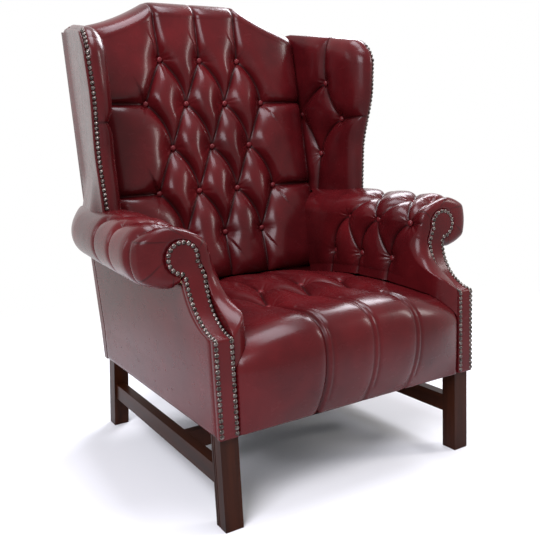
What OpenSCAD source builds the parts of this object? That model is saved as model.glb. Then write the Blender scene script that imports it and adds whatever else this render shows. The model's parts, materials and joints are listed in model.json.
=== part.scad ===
/* [Legs and stretchers] */
// Width across the outer faces of the legs
leg_span = 665; // [640:1:690]
// Side of the square legs
leg_side = 40; // [36:0.5:44]
// Height from the floor to the underside of the upholstery
leg_show = 198; // [170:1:230]
// Distance that the rear feet stand behind the rear rail
rear_leg_kick = 47; // [20:1:60]
// Depth of the two grooves in the outer face of a front leg
moulding_depth = 1.6; // [0.8:0.1:2.4]
// Width of each groove
moulding_width = 3; // [2:0.5:4]
// Height of the stretchers
stretcher_height = 42; // [34:1:50]
// Thickness of the stretchers
stretcher_thick = 24; // [18:1:28]
// Height of the stretchers' lower edge above the floor
stretcher_z = 85; // [65:1:105]
// Distance of the side stretchers behind the outer faces of the legs
stretcher_inset = 6; // [3:0.5:8]
// Distance from the front of the legs to the middle of the cross stretcher
cross_stretcher_y = 235; // [180:5:400]
// Length of the tenons
tenon_length = 18; // [12:1:20]
// Thickness of the tenons
tenon_thick = 12; // [8:1:14]
// Shoulder above and below a tenon
tenon_shoulder = 7; // [4:1:9]

/* [Seat frame] */
// Depth of the seat frame, from the front legs' faces to the rear legs' backs
frame_depth = 671; // [650:1:700]
// Height of the seat rails
rail_height = 84; // [76:1:92]
// Thickness of the seat rails
rail_thick = 28; // [24:1:32]
// Underside leather that laps under the rails
under_lap = 3; // [2:0.5:4]
// Length of a corner block along each rail
corner_block = 66; // [50:1:80]
// Height of a corner block
block_height = 40; // [30:1:50]
// Length of the screws in the corner blocks
screw_length = 50; // [44:1:56]
// Shank diameter of those screws
screw_dia = 5; // [4:0.5:6]
// Head diameter of those screws
screw_head = 10; // [8:0.5:12]

/* [Seat suspension] */
// Number of zigzag springs
spring_count = 5; // [3:1:6]
// Wire diameter of the springs
spring_wire = 3.8; // [3:0.2:4.4]
// Width of a zigzag spring
spring_width = 48; // [40:1:56]
// Bends along each spring
spring_bends = 22; // [16:2:28]
// Thickness of the hessian over the springs
hessian_thick = 1.5; // [1:0.5:3]
// Thickness of the seat padding
seat_padding_thick = 46; // [40:1:48]
// Thickness of the dust cover under the seat
dust_cover_thick = 0.8; // [0.6:0.1:1.6]

/* [Seat cover] */
// Height of the seat's crown above the floor
seat_height = 426; // [410:1:440]
// Distance that the front of the seat swells beyond the facings
nose_swell = 38; // [20:1:50]
// Height of the fullest part of the seat's front
nose_z = 320; // [300:1:340]
// Drop of the seat from its crown to the arms
seat_edge_drop = 44; // [30:1:54]
// Depth of the seat's tufts
seat_tuft_depth = 26; // [12:1:32]
// Distance from the front of the legs to the front row of seat tufts
seat_row_y = 155; // [140:1:180]
// Distance between the two rows of seat tufts
seat_row_pitch = 135; // [110:1:150]

/* [Back] */
// Height of the crest above the floor
crest_height = 1153; // [1120:1:1180]
// Width of the flat middle of the crest
crest_flat = 246; // [210:2:280]
// Height where the wings meet the back
shoulder_z = 1080; // [1060:1:1095]
// Angle of the back posts
post_rake = 7; // [5:0.5:9]
// Angle of the buttoned back
back_rake = 11.3; // [10:0.1:12.5]
// Distance from the front of the legs to the back's buttons at arm height
back_button_y = 590; // [585:1:600]
// Crown of the back's cushions over their buttons
back_crown = 30; // [14:1:34]
// Distance between two buttons in a row
button_pitch = 118; // [112:1:120]
// Height of the lowest row of back buttons
low_row_z = 521; // [510:1:535]
// Rise from one row of back buttons to the next
row_rise = 118; // [110:1:121]
// Diameter of the covered buttons
button_dia = 14; // [10:1:18]
// Depth of the posts from front to back
post_depth = 45; // [38:1:50]
// Depth of the padding over the crest rail
crest_pad = 22; // [16:1:28]

/* [Arms] */
// Height of the corner of the arm facings
facing_corner_z = 394; // [380:1:404]
// Height of the scroll's neck
neck_z = 510; // [500:1:516]
// Distance that the scroll stands behind the corner
facing_setback = 98; // [80:1:100]
// Width of the arm facings
facing_width = 43; // [38:1:46]
// Thickness of the arm facings
facing_thick = 11; // [8:1:13]
// Radius of the facings' scrolls
scroll_radius = 36; // [32:0.5:38]
// Distance of the scroll's centre from the chair's middle
scroll_x = 343; // [338:1:348]
// Height of the scroll's centre
scroll_z = 541; // [538:1:546]
// Radius of the arm rolls at the front
roll_radius = 64; // [60:1:68]
// Distance of a roll's middle from the chair's middle, at the front
roll_x = 378; // [374:1:384]
// Height of a roll's middle at the front
roll_z = 543; // [540:1:548]
// Depth of the arms' tufts
arm_tuft_depth = 15; // [8:1:16]
// Distance between two arm buttons in a row
arm_pitch = 117; // [112:1:118]
// Distance from the front of the legs to the first upper arm button
arm_first_y = 134; // [134:1:140]
// Distance of the arms' inner faces from the chair's middle
arm_inner_x = 264; // [258:1:270]
// Lean of the arms' inner faces between the roll and the seat
arm_inner_lean = 14; // [8:1:18]

/* [Wings] */
// Distance from the front of the legs to the wings' front edge
wing_front_y = 393; // [380:1:420]
// Distance of the wings' front outer edge from the chair's middle
wing_front_x = 409; // [402:1:414]
// Height of the top front corner of the wings
wing_top_z = 1028; // [1010:1:1040]
// Radius of the top front corner of the wings
wing_corner = 62; // [50:1:75]
// Depth of the wings' tufts
wing_tuft_depth = 10; // [6:1:11]
// Thickness of the wing frames
wing_wood = 14; // [12:1:15]

/* [Nails and leather] */
// Diameter of the nail heads
nail_dia = 10; // [8:0.5:10.5]
// Height of the nail heads
nail_height = 3.2; // [2:0.2:4]
// Distance from one nail to the next
nail_pitch = 11; // [10.6:0.1:14]
// Distance from the nails' middle to the edge of the facing
nail_margin = 5; // [5:0.5:8]
// Thickness of the outside panels
panel_thick = 5; // [4:0.5:6]
// Clearance between soft pieces
soft_gap = 0.4; // [0.2:0.1:0.8]

/* [Hidden] */
$fn = 32;

// Colours as the finished chair shows them
mahogany = [0.20, 0.07, 0.04];
beech = [0.72, 0.55, 0.38];
oxblood = [0.30, 0.03, 0.05];
oxblood_dark = [0.24, 0.025, 0.04];
bronze = [0.38, 0.34, 0.30];
steel = [0.55, 0.56, 0.58];
jute = [0.62, 0.50, 0.33];
felt = [0.80, 0.77, 0.70];
cambric = [0.08, 0.08, 0.09];

// Places that several pieces share
over = 1;
half_span = leg_span / 2;
leg_inner_x = half_span - leg_side;
rail_z = leg_show + under_lap;
rail_top_z = rail_z + rail_height;
rear_leg_y = frame_depth - leg_side;
post_front_y = frame_depth - post_depth;
crest_back_y = frame_depth + (crest_height - rail_top_z) * tan(post_rake) + panel_thick;
nose_front_y = -facing_thick - nose_swell;
middle_y = (crest_back_y + nose_front_y) / 2;

function mix(a, b, t) = a + (b - a) * t;
function within(t) = max(0, min(1, t));
function puff(t) = sqrt(within(t) * (2 - within(t)));

// Moves the chair from the front legs' faces to the middle of its depth
module placed() {
    translate([0, -middle_y, 0]) children();
}

// The right-hand piece, or its mirror image
module sided(left) {
    mirror([left ? 1 : 0, 0, 0]) children();
}

// Points where leather lies low: pleats between two points and pulls at the buttons
function along(p, a, b) = within(((p - a) * (b - a)) / ((b - a) * (b - a)));
function pleat_low(p, pleat, reach) =
    let (t = along(p, pleat[0], pleat[1]),
         gap = norm(p - mix(pleat[0], pleat[1], t)),
         deep = mix(pleat[2], pleat[3], t) - pleat[4] * 4 * t * (1 - t))
    deep * (1 - puff(gap / reach));
function tuft_low(p, pleats, reach) = max([for (pleat = pleats) pleat_low(p, pleat, reach)]);

// Closed form between a front grid and a back grid that share their number of columns
function grid_index(base, rows, i, j) = base + i * rows + j;
function strip(p, a, b, i = 0, j = 0) =
    i >= len(a) - 1 && j >= len(b) - 1 ? [] :
    (j >= len(b) - 1 || (i < len(a) - 1 && norm(p[a[i + 1]] - p[b[j]]) <= norm(p[a[i]] - p[b[j + 1]])))
        ? concat([[a[i], a[i + 1], b[j]]], strip(p, a, b, i + 1, j))
        : concat([[a[i], b[j + 1], b[j]]], strip(p, a, b, i, j + 1));
function backwards(faces) = [for (f = faces) [f[2], f[1], f[0]]];

module padded_form(front, back, low) {
    cols = len(front);
    rows = len(front[0]);
    back_rows = len(back[0]);
    base = cols * rows;
    points = concat([for (c = front) for (p = c) p], [for (c = back) for (p = c) p]);
    face_front = [for (i = [0 : cols - 2]) for (j = [0 : rows - 2])
        let (a = grid_index(0, rows, i, j), b = grid_index(0, rows, i + 1, j),
             c = grid_index(0, rows, i + 1, j + 1), d = grid_index(0, rows, i, j + 1),
             valley = low[i][j] + low[i + 1][j + 1] >= low[i + 1][j] + low[i][j + 1])
        each (valley ? [[a, c, b], [a, d, c]] : [[a, d, b], [b, d, c]])];
    face_back = [for (i = [0 : cols - 2]) for (k = [0 : back_rows - 2])
        let (a = grid_index(base, back_rows, i, k), b = grid_index(base, back_rows, i + 1, k),
             c = grid_index(base, back_rows, i + 1, k + 1), d = grid_index(base, back_rows, i, k + 1))
        each [[a, b, c], [a, c, d]]];
    edge_low = [for (i = [0 : cols - 2])
        let (a = grid_index(0, rows, i, 0), b = grid_index(0, rows, i + 1, 0),
             c = grid_index(base, back_rows, i + 1, 0), d = grid_index(base, back_rows, i, 0))
        each [[a, b, c], [a, c, d]]];
    edge_high = [for (i = [0 : cols - 2])
        let (a = grid_index(0, rows, i, rows - 1), b = grid_index(0, rows, i + 1, rows - 1),
             c = grid_index(base, back_rows, i + 1, back_rows - 1),
             d = grid_index(base, back_rows, i, back_rows - 1))
        each [[a, c, b], [a, d, c]]];
    first = strip(points, [for (j = [0 : rows - 1]) grid_index(0, rows, 0, j)],
                  [for (k = [0 : back_rows - 1]) grid_index(base, back_rows, 0, k)]);
    last = strip(points, [for (j = [0 : rows - 1]) grid_index(0, rows, cols - 1, j)],
                 [for (k = [0 : back_rows - 1]) grid_index(base, back_rows, cols - 1, k)]);
    polyhedron(points, concat(face_front, face_back, edge_low, edge_high, backwards(first), last));
}

// Legs, with mortises that follow the rails' and stretchers' tenons
leg_top_z = rail_top_z;
side_rail_x = half_span - rail_thick / 2;
front_rail_y = rail_thick / 2;
rear_rail_y = frame_depth - rail_thick / 2;
stretcher_x = half_span - stretcher_inset - stretcher_thick / 2;
stretcher_top_z = stretcher_z + stretcher_height;
post_tenon = 16;
post_tenon_wall = 2;
post_tenon_length = 26;
post_width = 36;
post_arm_flare = 5;
post_top_flare = 9;
moulding_edge = 7;
block_drop = 2;

function rear_leg_front(z) = rear_leg_y + rear_leg_kick * (1 - min(z, leg_show) / leg_show);

// Prism along the X axis from an outline in Y and Z
module across(x, width) {
    translate([x, 0, 0]) rotate([90, 0, 90]) linear_extrude(width) children();
}

// Prism along the Y axis from an outline in X and Z
module lengthwise(y, depth) {
    translate([0, y + depth, 0]) rotate([90, 0, 0]) linear_extrude(depth) children();
}

module rail_tenons_x(y) {
    for (side = [-1, 1])
        translate([side * (leg_inner_x + tenon_length / 2), y, rail_z + rail_height / 2])
            cube([tenon_length, tenon_thick, rail_height - 2 * tenon_shoulder], center = true);
}

module side_rail_tenon(y) {
    translate([side_rail_x - tenon_thick / 2, y, rail_z + tenon_shoulder])
        cube([tenon_thick, tenon_length, rail_height - 2 * tenon_shoulder]);
}

module side_stretcher_tenons() {
    low = stretcher_z + tenon_shoulder;
    high = stretcher_top_z - tenon_shoulder;
    across(stretcher_x - tenon_thick / 2, tenon_thick)
        polygon([[leg_side - tenon_length, low], [leg_side, low], [leg_side, high],
                 [leg_side - tenon_length, high]]);
    across(stretcher_x - tenon_thick / 2, tenon_thick)
        polygon([[rear_leg_front(low), low], [rear_leg_front(low) + tenon_length, low],
                 [rear_leg_front(high) + tenon_length, high], [rear_leg_front(high), high]]);
}

// Screw through a corner block, from its long face towards the leg
module block_screw_at(rear, length, dia, head, head_height) {
    mid = (leg_side - rail_thick + corner_block) / 2;
    y = rear ? frame_depth - rail_thick - mid : rail_thick + mid;
    x = (leg_inner_x - corner_block + half_span - rail_thick) / 2;
    translate([x, y, rail_top_z - block_drop - block_height / 2])
        rotate([0, 0, rear ? 45 : -45]) rotate([0, 90, 0]) {
            cylinder(d = dia, h = length);
            translate([0, 0, -head_height]) cylinder(d = head, h = head_height);
        }
}

module front_leg() {
    color(mahogany) placed() difference() {
        translate([leg_inner_x, 0, 0]) cube([leg_side, leg_side, leg_top_z]);
        rail_tenons_x(front_rail_y);
        side_rail_tenon(leg_side - tenon_length);
        side_stretcher_tenons();
        block_screw_at(false, screw_length, screw_dia, screw_dia, over);
        for (y = [leg_side - moulding_edge, leg_side - 2 * moulding_edge])
            translate([half_span - moulding_depth, y - moulding_width / 2, -over])
                cube([moulding_depth + over, moulding_width, leg_show + over]);
    }
}

module rear_leg() {
    color(mahogany) placed() difference() {
        across(leg_inner_x, leg_side)
            polygon([[rear_leg_front(0), 0], [rear_leg_front(0) + leg_side, 0],
                     [frame_depth, leg_show], [frame_depth, leg_top_z],
                     [rear_leg_y, leg_top_z], [rear_leg_y, leg_show]]);
        rail_tenons_x(rear_rail_y);
        side_rail_tenon(rear_leg_y);
        side_stretcher_tenons();
        post_foot_tenon();
        block_screw_at(true, screw_length, screw_dia, screw_dia, over);
    }
}

module post_foot_tenon() {
    translate([leg_inner_x + tenon_length + post_tenon_wall, rear_leg_y + tenon_length + post_tenon_wall,
               leg_top_z - post_tenon_length])
        cube([post_tenon, post_tenon, post_tenon_length + over]);
}

module side_stretcher() {
    color(mahogany) placed() {
        difference() {
            across(stretcher_x - stretcher_thick / 2, stretcher_thick)
                polygon([[leg_side, stretcher_z], [rear_leg_front(stretcher_z), stretcher_z],
                         [rear_leg_front(stretcher_top_z), stretcher_top_z],
                         [leg_side, stretcher_top_z]]);
            cross_tenons();
        }
        side_stretcher_tenons();
    }
}

module cross_tenons() {
    reach = stretcher_x;
    translate([-reach, cross_stretcher_y - tenon_thick / 2, stretcher_z + tenon_shoulder])
        cube([2 * reach, tenon_thick, stretcher_height - 2 * tenon_shoulder]);
}

module cross_stretcher() {
    reach = stretcher_x - stretcher_thick / 2;
    color(mahogany) placed() {
        translate([-reach, cross_stretcher_y - stretcher_thick / 2, stretcher_z])
            cube([2 * reach, stretcher_thick, stretcher_height]);
        cross_tenons();
    }
}

// Seat frame
module end_rail(y) {
    color(beech) placed() {
        translate([-leg_inner_x, y - rail_thick / 2, rail_z])
            cube([2 * leg_inner_x, rail_thick, rail_height]);
        rail_tenons_x(y);
    }
}

module side_seat_rail() {
    color(beech) placed() {
        translate([half_span - rail_thick, leg_side, rail_z])
            cube([rail_thick, rear_leg_y - leg_side, rail_height]);
        side_rail_tenon(leg_side - tenon_length);
        side_rail_tenon(rear_leg_y);
    }
}

module corner_block_piece(rear) {
    inner = half_span - rail_thick;
    rail_face = rear ? frame_depth - rail_thick : rail_thick;
    leg_face = rear ? rear_leg_y : leg_side;
    far = rear ? rear_leg_y - corner_block : leg_side + corner_block;
    color(beech) placed() difference() {
        translate([0, 0, rail_top_z - block_drop - block_height]) linear_extrude(block_height)
            polygon([[leg_inner_x, rail_face], [leg_inner_x - corner_block, rail_face],
                     [inner, far], [inner, leg_face], [leg_inner_x, leg_face]]);
        block_screw_at(rear, screw_length, screw_dia, screw_dia, over);
    }
}

module corner_block_screws() {
    color(steel) placed()
        for (left = [false, true]) sided(left)
            for (rear = [false, true])
                block_screw_at(rear, screw_length, screw_dia, screw_head, screw_dia / 2);
}

// Back frame, in a plane that leans with the posts
lower_rail_height = 60;
crest_rail_height = 86;
crest_steps = 8;
crest_fall_power = 1.6;
crest_reach_x = 321;
outer_gap = soft_gap + panel_thick;
facing_outer_x = half_span + outer_gap;
facing_inner_x = facing_outer_x - facing_width;
seat_rear_sink = 24;
back_low_z = seat_height - seat_rear_sink;
back_rail_clearance = 2;

module on_posts() {
    translate([0, frame_depth, rail_top_z]) rotate([-post_rake, 0, 0]) children();
}

function on_post_z(z) = (z - rail_top_z) / cos(post_rake);
function post_back(z) = frame_depth + max(0, z - rail_top_z) * tan(post_rake);
function post_front(z) = post_back(z) - post_depth / cos(post_rake);
function post_outer(z) = half_span
    + (z < neck_z ? post_arm_flare * within((z - rail_top_z) / (neck_z - rail_top_z))
                  : mix(post_arm_flare, post_top_flare, within((z - neck_z) / (shoulder_z - neck_z))));
function post_inner(z) = post_outer(z) - post_width;
function shell_outer(z) = post_outer(z) + outer_gap;

post_top_z = shoulder_z - crest_pad;
crest_side_x = post_inner(post_top_z);
function crest_z(x) =
    abs(x) < crest_flat / 2 ? crest_height
    : shoulder_z + (crest_height - shoulder_z)
        * pow(1 - within((abs(x) - crest_flat / 2) / (crest_reach_x - crest_flat / 2)), crest_fall_power);
function crest_step_x(k, reach) = mix(crest_flat / 2, reach, k / crest_steps);
function crest_line(reach) = concat([for (k = [crest_steps : -1 : 0]) -crest_step_x(k, reach)],
                                    [for (k = [0 : crest_steps]) crest_step_x(k, reach)]);

module back_post() {
    color(beech) placed() {
        intersection() {
            on_posts() lengthwise(-post_depth, post_depth)
                polygon([[half_span - post_width, -post_depth], [half_span, -post_depth], [half_span, 0],
                         [post_outer(neck_z), on_post_z(neck_z)],
                         [post_outer(post_top_z), on_post_z(post_top_z)],
                         [post_inner(post_top_z), on_post_z(post_top_z)],
                         [post_inner(neck_z), on_post_z(neck_z)],
                         [half_span - post_width, 0]]);
            translate([0, 0, rail_top_z]) cube([leg_span, 2 * frame_depth, crest_height]);
        }
        post_foot_tenon();
    }
}

module crest_rail() {
    low = post_top_z - crest_rail_height;
    color(beech) placed() on_posts() lengthwise(-post_depth, post_depth)
        polygon(concat([[post_inner(low), on_post_z(low)], [-post_inner(low), on_post_z(low)]],
                       [for (x = crest_line(crest_side_x)) [x, on_post_z(crest_z(x) - crest_pad)]]));
}

module lower_back_rail() {
    high = back_low_z + lower_rail_height;
    color(beech) placed() on_posts() lengthwise(-post_depth, post_depth)
        polygon([[-post_inner(back_low_z), on_post_z(back_low_z)], [post_inner(back_low_z), on_post_z(back_low_z)],
                 [post_inner(high), on_post_z(high)], [-post_inner(high), on_post_z(high)]]);
}

// Straps between the rails and posts, with fibre padding in front of them
strap_width = 50;
strap_thick = 2;
strap_share = 0.55;
back_strap_count = 4;
side_strap_count = 5;
back_fill_thick = post_depth * (1 - strap_share) - strap_thick;

module back_opening(depth_from, depth) {
    low = back_low_z + lower_rail_height;
    high = post_top_z - crest_rail_height;
    lengthwise(depth_from, depth)
        polygon([[-post_inner(low), on_post_z(low)], [post_inner(low), on_post_z(low)],
                 [post_inner(neck_z), on_post_z(neck_z)], [post_inner(high), on_post_z(high)],
                 [-post_inner(high), on_post_z(high)], [-post_inner(neck_z), on_post_z(neck_z)]]);
}

module back_webbing() {
    low = on_post_z(back_low_z + lower_rail_height);
    high = on_post_z(post_top_z - crest_rail_height);
    y = -post_depth * strap_share;
    color(jute) placed() on_posts() intersection() {
        back_opening(y, strap_thick);
        union() {
            for (k = [0 : back_strap_count])
                translate([mix(-crest_side_x, crest_side_x, (k + 0.5) / (back_strap_count + 1)) - strap_width / 2,
                           y, low])
                    cube([strap_width, strap_thick, high - low]);
            for (k = [0 : side_strap_count])
                translate([-half_span, y, mix(low, high, (k + 0.5) / (side_strap_count + 1)) - strap_width / 2])
                    cube([leg_span, strap_thick, strap_width]);
        }
    }
}

module back_padding() {
    color(felt) placed() on_posts()
        back_opening(-post_depth, back_fill_thick);
}

// Buttoned back: envelope, tufts and crest
back_columns = 15;
back_edge_roll = 70;
back_edge_recess = 12;
back_low_roll = 60;
crest_drop = 50;
crest_turn = 110;
crest_arc_steps = 4;
back_low_steps = 3;
row_steps = 3;
arm_top_z = roll_z + roll_radius;
back_half_low = 301;
back_half_high = 317;
row_count = 5;
pleat_lift = 0.25;
top_row_z = low_row_z + (row_count - 1) * row_rise;
back_pleat_reach = button_pitch * 0.45;
crest_pleat_drift = 3;

function back_half(z) = mix(back_half_low, back_half_high, within((z - back_low_z) / (shoulder_z - back_low_z)));
function button_plane(z) = back_button_y + (z - arm_top_z) * tan(back_rake);
function back_low_edge(z) = puff((z - back_low_z) / back_low_roll);
function back_surface(x, z, low) =
    button_plane(z) + back_edge_recess
    - (back_crown + back_edge_recess) * puff((back_half(z) - abs(x)) / back_edge_roll) * back_low_edge(z)
    + back_crown * low * back_low_edge(z);

rise_rows = (row_count - 1) * row_steps;
crest_rows = back_low_steps + rise_rows + row_steps;
function back_foot(x) = seat_top(min(abs(x), seat_half), seat_meet_y) + back_rail_clearance;
function crest_start(x) = crest_z(x) - crest_drop;
function back_row_z(x, j) =
    j <= back_low_steps ? mix(back_foot(x), low_row_z, j / back_low_steps)
    : j <= back_low_steps + rise_rows ? low_row_z + (j - back_low_steps) * row_rise / row_steps
    : mix(top_row_z, crest_start(x), (min(j, crest_rows) - back_low_steps - rise_rows) / row_steps);
function back_column_x(k, z) =
    abs(k) > back_columns ? sign(k) * back_half(z) : k * button_pitch / (2 * row_steps);

// Rows one, three and five hold three buttons, rows two and four hold four
function back_row_height(row) = low_row_z + (row_count - row) * row_rise;
function back_row_slots(row) = row % 2 == 1 ? [-2, 0, 2] : [-3, -1, 1, 3];
back_spots = [for (row = [1 : row_count]) for (k = back_row_slots(row))
    [k * button_pitch / 2, back_row_height(row)]];
back_pleats = concat(
    [for (row = [1 : row_count - 1]) for (k = back_row_slots(row)) for (m = back_row_slots(row + 1))
        if (abs(k - m) == 1)
        [[k * button_pitch / 2, back_row_height(row)], [m * button_pitch / 2, back_row_height(row + 1)],
         1, 1, pleat_lift]],
    [for (k = back_row_slots(1))
        [[k * button_pitch / 2, top_row_z],
         [k * button_pitch / 2 + (k - 0.5) * crest_pleat_drift, crest_height + crest_drop], 1, 0.7, 0]],
    [for (k = back_row_slots(row_count)) [[k * button_pitch / 2, low_row_z], [k * button_pitch / 2, 0], 1, 1, 0]],
    [for (row = [2, 4]) for (side = [-1, 1])
        [[side * button_pitch * 1.5, back_row_height(row)], [side * back_half_low, back_row_height(row)], 1, 0.3, 0]]);
function back_low(x, z, turn) = tuft_low([x, z + turn * crest_drop * 2], back_pleats, back_pleat_reach);
function back_point(k, j) =
    let (z_first = back_row_z(0, j), x = back_column_x(k, z_first), z = back_row_z(x, j),
         turn = within((j - crest_rows) / crest_arc_steps),
         start = back_surface(x, crest_start(x), back_low(x, crest_start(x), turn)),
         deep = (post_back(crest_z(x) - crest_pad) - start) / (1 - cos(crest_turn)))
    turn == 0 ? [x, back_surface(x, z, back_low(x, z, 0)), z]
    : [x, start + deep * (1 - cos(crest_turn * turn)),
       crest_start(x) + (crest_drop - crest_dip * back_low(x, crest_start(x), turn)) * sin(crest_turn * turn)];
crest_dip = 0.25;

module back_cover() {
    ks = [-back_columns - 1 : back_columns + 1];
    js = [0 : crest_rows + crest_arc_steps];
    front = [for (k = ks) [for (j = js) back_point(k, j)]];
    low = [for (k = ks) [for (j = js)
        let (p = back_point(k, j), turn = within((j - crest_rows) / crest_arc_steps))
        back_low(p[0], turn == 0 ? p[2] : crest_start(p[0]), turn)]];
    back = [for (c = front)
        let (x = c[0][0], top = c[len(c) - 1][0], rail = crest_z(top) - crest_pad + back_rail_clearance,
             lift = (post_depth + soft_gap) * sin(post_rake), reach = (post_depth + soft_gap) * cos(post_rake))
        [[x, post_front(back_foot(x)) - soft_gap, back_foot(x)],
         [top, post_back(rail) - reach, rail + lift],
         [top, post_back(rail), rail]]];
    color(oxblood) placed() padded_form(front, back, low);
}

// Covered buttons on short shanks, with their axes along a normal
shank_height = 4.6;
shank_dia = 3;
button_height = 4;
button_face = 0.55;
shank_tip = 0.6;

module covered_button() {
    color(oxblood_dark) {
        cylinder(h = shank_height, d1 = shank_tip, d2 = shank_dia);
        translate([0, 0, shank_height]) cylinder(h = button_height, d1 = button_dia, d2 = button_dia * button_face);
    }
}

module back_buttons() {
    placed() for (spot = back_spots)
        translate([spot[0], button_plane(spot[1]) - soft_gap, spot[1]]) rotate([90 - back_rake, 0, 0])
            covered_button();
}

// Pads over the post tops, between the back and the wings
module post_pads() {
    low = on_post_z(post_top_z);
    high = on_post_z(shoulder_z);
    inner = back_half_high + soft_gap;
    outer = post_outer(shoulder_z);
    color(oxblood) placed() for (left = [false, true]) sided(left)
        on_posts() lengthwise(-post_depth, post_depth)
            polygon([[inner, low], [outer, low], [outer, high], [inner, high]]);
}

// Outside back panel, padded out to one plane behind the frame
outside_back_drop = 9;
outside_back_kick = 26;

module outside_back() {
    top = [for (x = crest_line(crest_reach_x)) [x, crest_z(x) - outside_back_drop]];
    side = shell_outer(shoulder_z);
    color(oxblood) placed() intersection() {
        across(-leg_span, 2 * leg_span)
            polygon([[frame_depth, leg_show], [frame_depth, rail_top_z],
                     [post_back(crest_height), crest_height], [crest_back_y, crest_height],
                     [frame_depth + outside_back_kick, leg_show]]);
        lengthwise(0, 2 * frame_depth)
            polygon(concat([[-shell_outer(0), leg_show], [-shell_outer(0), rail_top_z],
                            [-shell_outer(neck_z), neck_z], [-side, shoulder_z - outside_back_drop]], top,
                           [[side, shoulder_z - outside_back_drop], [shell_outer(neck_z), neck_z],
                            [shell_outer(0), rail_top_z], [shell_outer(0), leg_show]]));
    }
}

// Seat suspension: zigzag springs held by clips on the rails
clip_base = 1.2;
clip_depth = 12;
clip_width = 16;
clip_cover = 1;
spring_z = rail_top_z + clip_base + spring_wire / 2;
spring_field = 0.8;
spring_start_y = front_rail_y;
spring_run = rear_rail_y - front_rail_y;
bend_pitch = spring_run / spring_bends;
bend_reach = spring_width / 2 - bend_pitch / 2;

function spring_x(k) = mix(-leg_inner_x, leg_inner_x, (k + 0.5) / spring_count) * spring_field;

module zigzag_spring() {
    translate([0, 0, spring_z - spring_wire / 2]) linear_extrude(spring_wire) {
        for (k = [0 : spring_bends])
            translate([0, spring_start_y + k * bend_pitch])
                square([2 * bend_reach + over, spring_wire], center = true);
        for (k = [0 : spring_bends - 1])
            translate([0, spring_start_y + (k + 0.5) * bend_pitch]) rotate(k % 2 == 0 ? 0 : 180)
                translate([bend_reach, 0]) difference() {
                    circle(d = bend_pitch + spring_wire);
                    circle(d = bend_pitch - spring_wire);
                    translate([-bend_pitch, -bend_pitch]) square([bend_pitch, 2 * bend_pitch]);
                }
    }
}

module seat_springs() {
    color(steel) placed() for (k = [0 : spring_count - 1]) translate([spring_x(k), 0, 0]) zigzag_spring();
}

module spring_clips() {
    color(steel) placed() for (k = [0 : spring_count - 1]) for (y = [front_rail_y, rear_rail_y])
        difference() {
            translate([spring_x(k) - clip_width / 2, y - clip_depth / 2, rail_top_z])
                cube([clip_width, clip_depth, clip_base + spring_wire + clip_cover]);
            translate([spring_x(k) - spring_width, y - spring_wire / 2, spring_z - spring_wire / 2])
                cube([2 * spring_width, spring_wire, spring_wire]);
        }
}

hessian_z = spring_z + spring_wire / 2 + clip_cover;
hessian_front_y = rail_thick / 3;
hessian_half = facing_inner_x - rail_thick / 3;
seat_under_z = hessian_z + hessian_thick + seat_padding_thick + soft_gap;

module seat_hessian() {
    color(jute) placed() translate([-hessian_half, hessian_front_y, hessian_z])
        cube([2 * hessian_half, post_front_y - hessian_front_y - rail_thick / 3, hessian_thick]);
}

module seat_padding() {
    color(felt) placed() translate([-hessian_half, hessian_front_y, hessian_z + hessian_thick])
        cube([2 * hessian_half, seat_back_y - hessian_front_y, seat_padding_thick]);
}

module dust_cover() {
    inset = leg_side + soft_gap;
    color(cambric) placed() translate([0, 0, rail_z - dust_cover_thick]) linear_extrude(dust_cover_thick)
        polygon([[-leg_inner_x + soft_gap, 0], [leg_inner_x - soft_gap, 0], [leg_inner_x - soft_gap, inset],
                 [half_span, inset], [half_span, rear_leg_y - soft_gap],
                 [leg_inner_x - soft_gap, rear_leg_y - soft_gap], [leg_inner_x - soft_gap, frame_depth],
                 [-leg_inner_x + soft_gap, frame_depth], [-leg_inner_x + soft_gap, rear_leg_y - soft_gap],
                 [-half_span, rear_leg_y - soft_gap], [-half_span, inset], [-leg_inner_x + soft_gap, inset]]);
}

// Arm facings: a column that sweeps back to the scroll
neck_flare = 7.5;
facing_steps = 12;
corner_share = 0.1636;
neck_step = 10;
notch_z = neck_z - neck_step;
scroll_open = 10;
facing_front_y = -facing_thick;
sweep_depth = facing_setback / (1 - corner_share);
sweep_height = (neck_z - facing_corner_z) / sqrt(1 - corner_share * corner_share);
facing_heights = concat([leg_show],
    [for (k = [0 : facing_steps]) neck_z - sweep_height * cos(mix(asin(corner_share), 90, k / facing_steps))],
    [scroll_z + scroll_radius + over]);
scroll_front_y = facing_front_y + facing_setback;

function facing_y(z) = z <= facing_corner_z ? facing_front_y
    : facing_front_y + sweep_depth * (sqrt(1 - pow(max(0, neck_z - z) / sweep_height, 2)) - corner_share);
function flare_at(z) = neck_flare * within((z - facing_corner_z) / (notch_z - facing_corner_z));
function facing_outer(z) = facing_outer_x + flare_at(z);

module facing_band(behind, depth) {
    across(0, leg_span)
        polygon(concat([for (z = facing_heights) [facing_y(z) + behind, z]],
                       [for (k = [len(facing_heights) - 1 : -1 : 0])
                           [facing_y(facing_heights[k]) + behind + depth, facing_heights[k]]]));
}

module facing_outline(inner, outer, radius, x) {
    lengthwise(facing_front_y - over, frame_depth) {
        polygon([[facing_inner_x + inner, leg_show], [facing_outer_x - outer, leg_show],
                 [facing_outer_x - outer, facing_corner_z], [facing_outer(notch_z) - outer, notch_z],
                 [x, scroll_z], [x - radius * cos(scroll_open), scroll_z - radius * sin(scroll_open)],
                 [facing_inner_x + inner, notch_z]]);
        translate([x, scroll_z]) circle(radius);
    }
}

module arm_facing() {
    color(oxblood) placed() intersection() {
        facing_band(0, facing_thick);
        facing_outline(0, 0, scroll_radius, scroll_x);
    }
}

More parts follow.
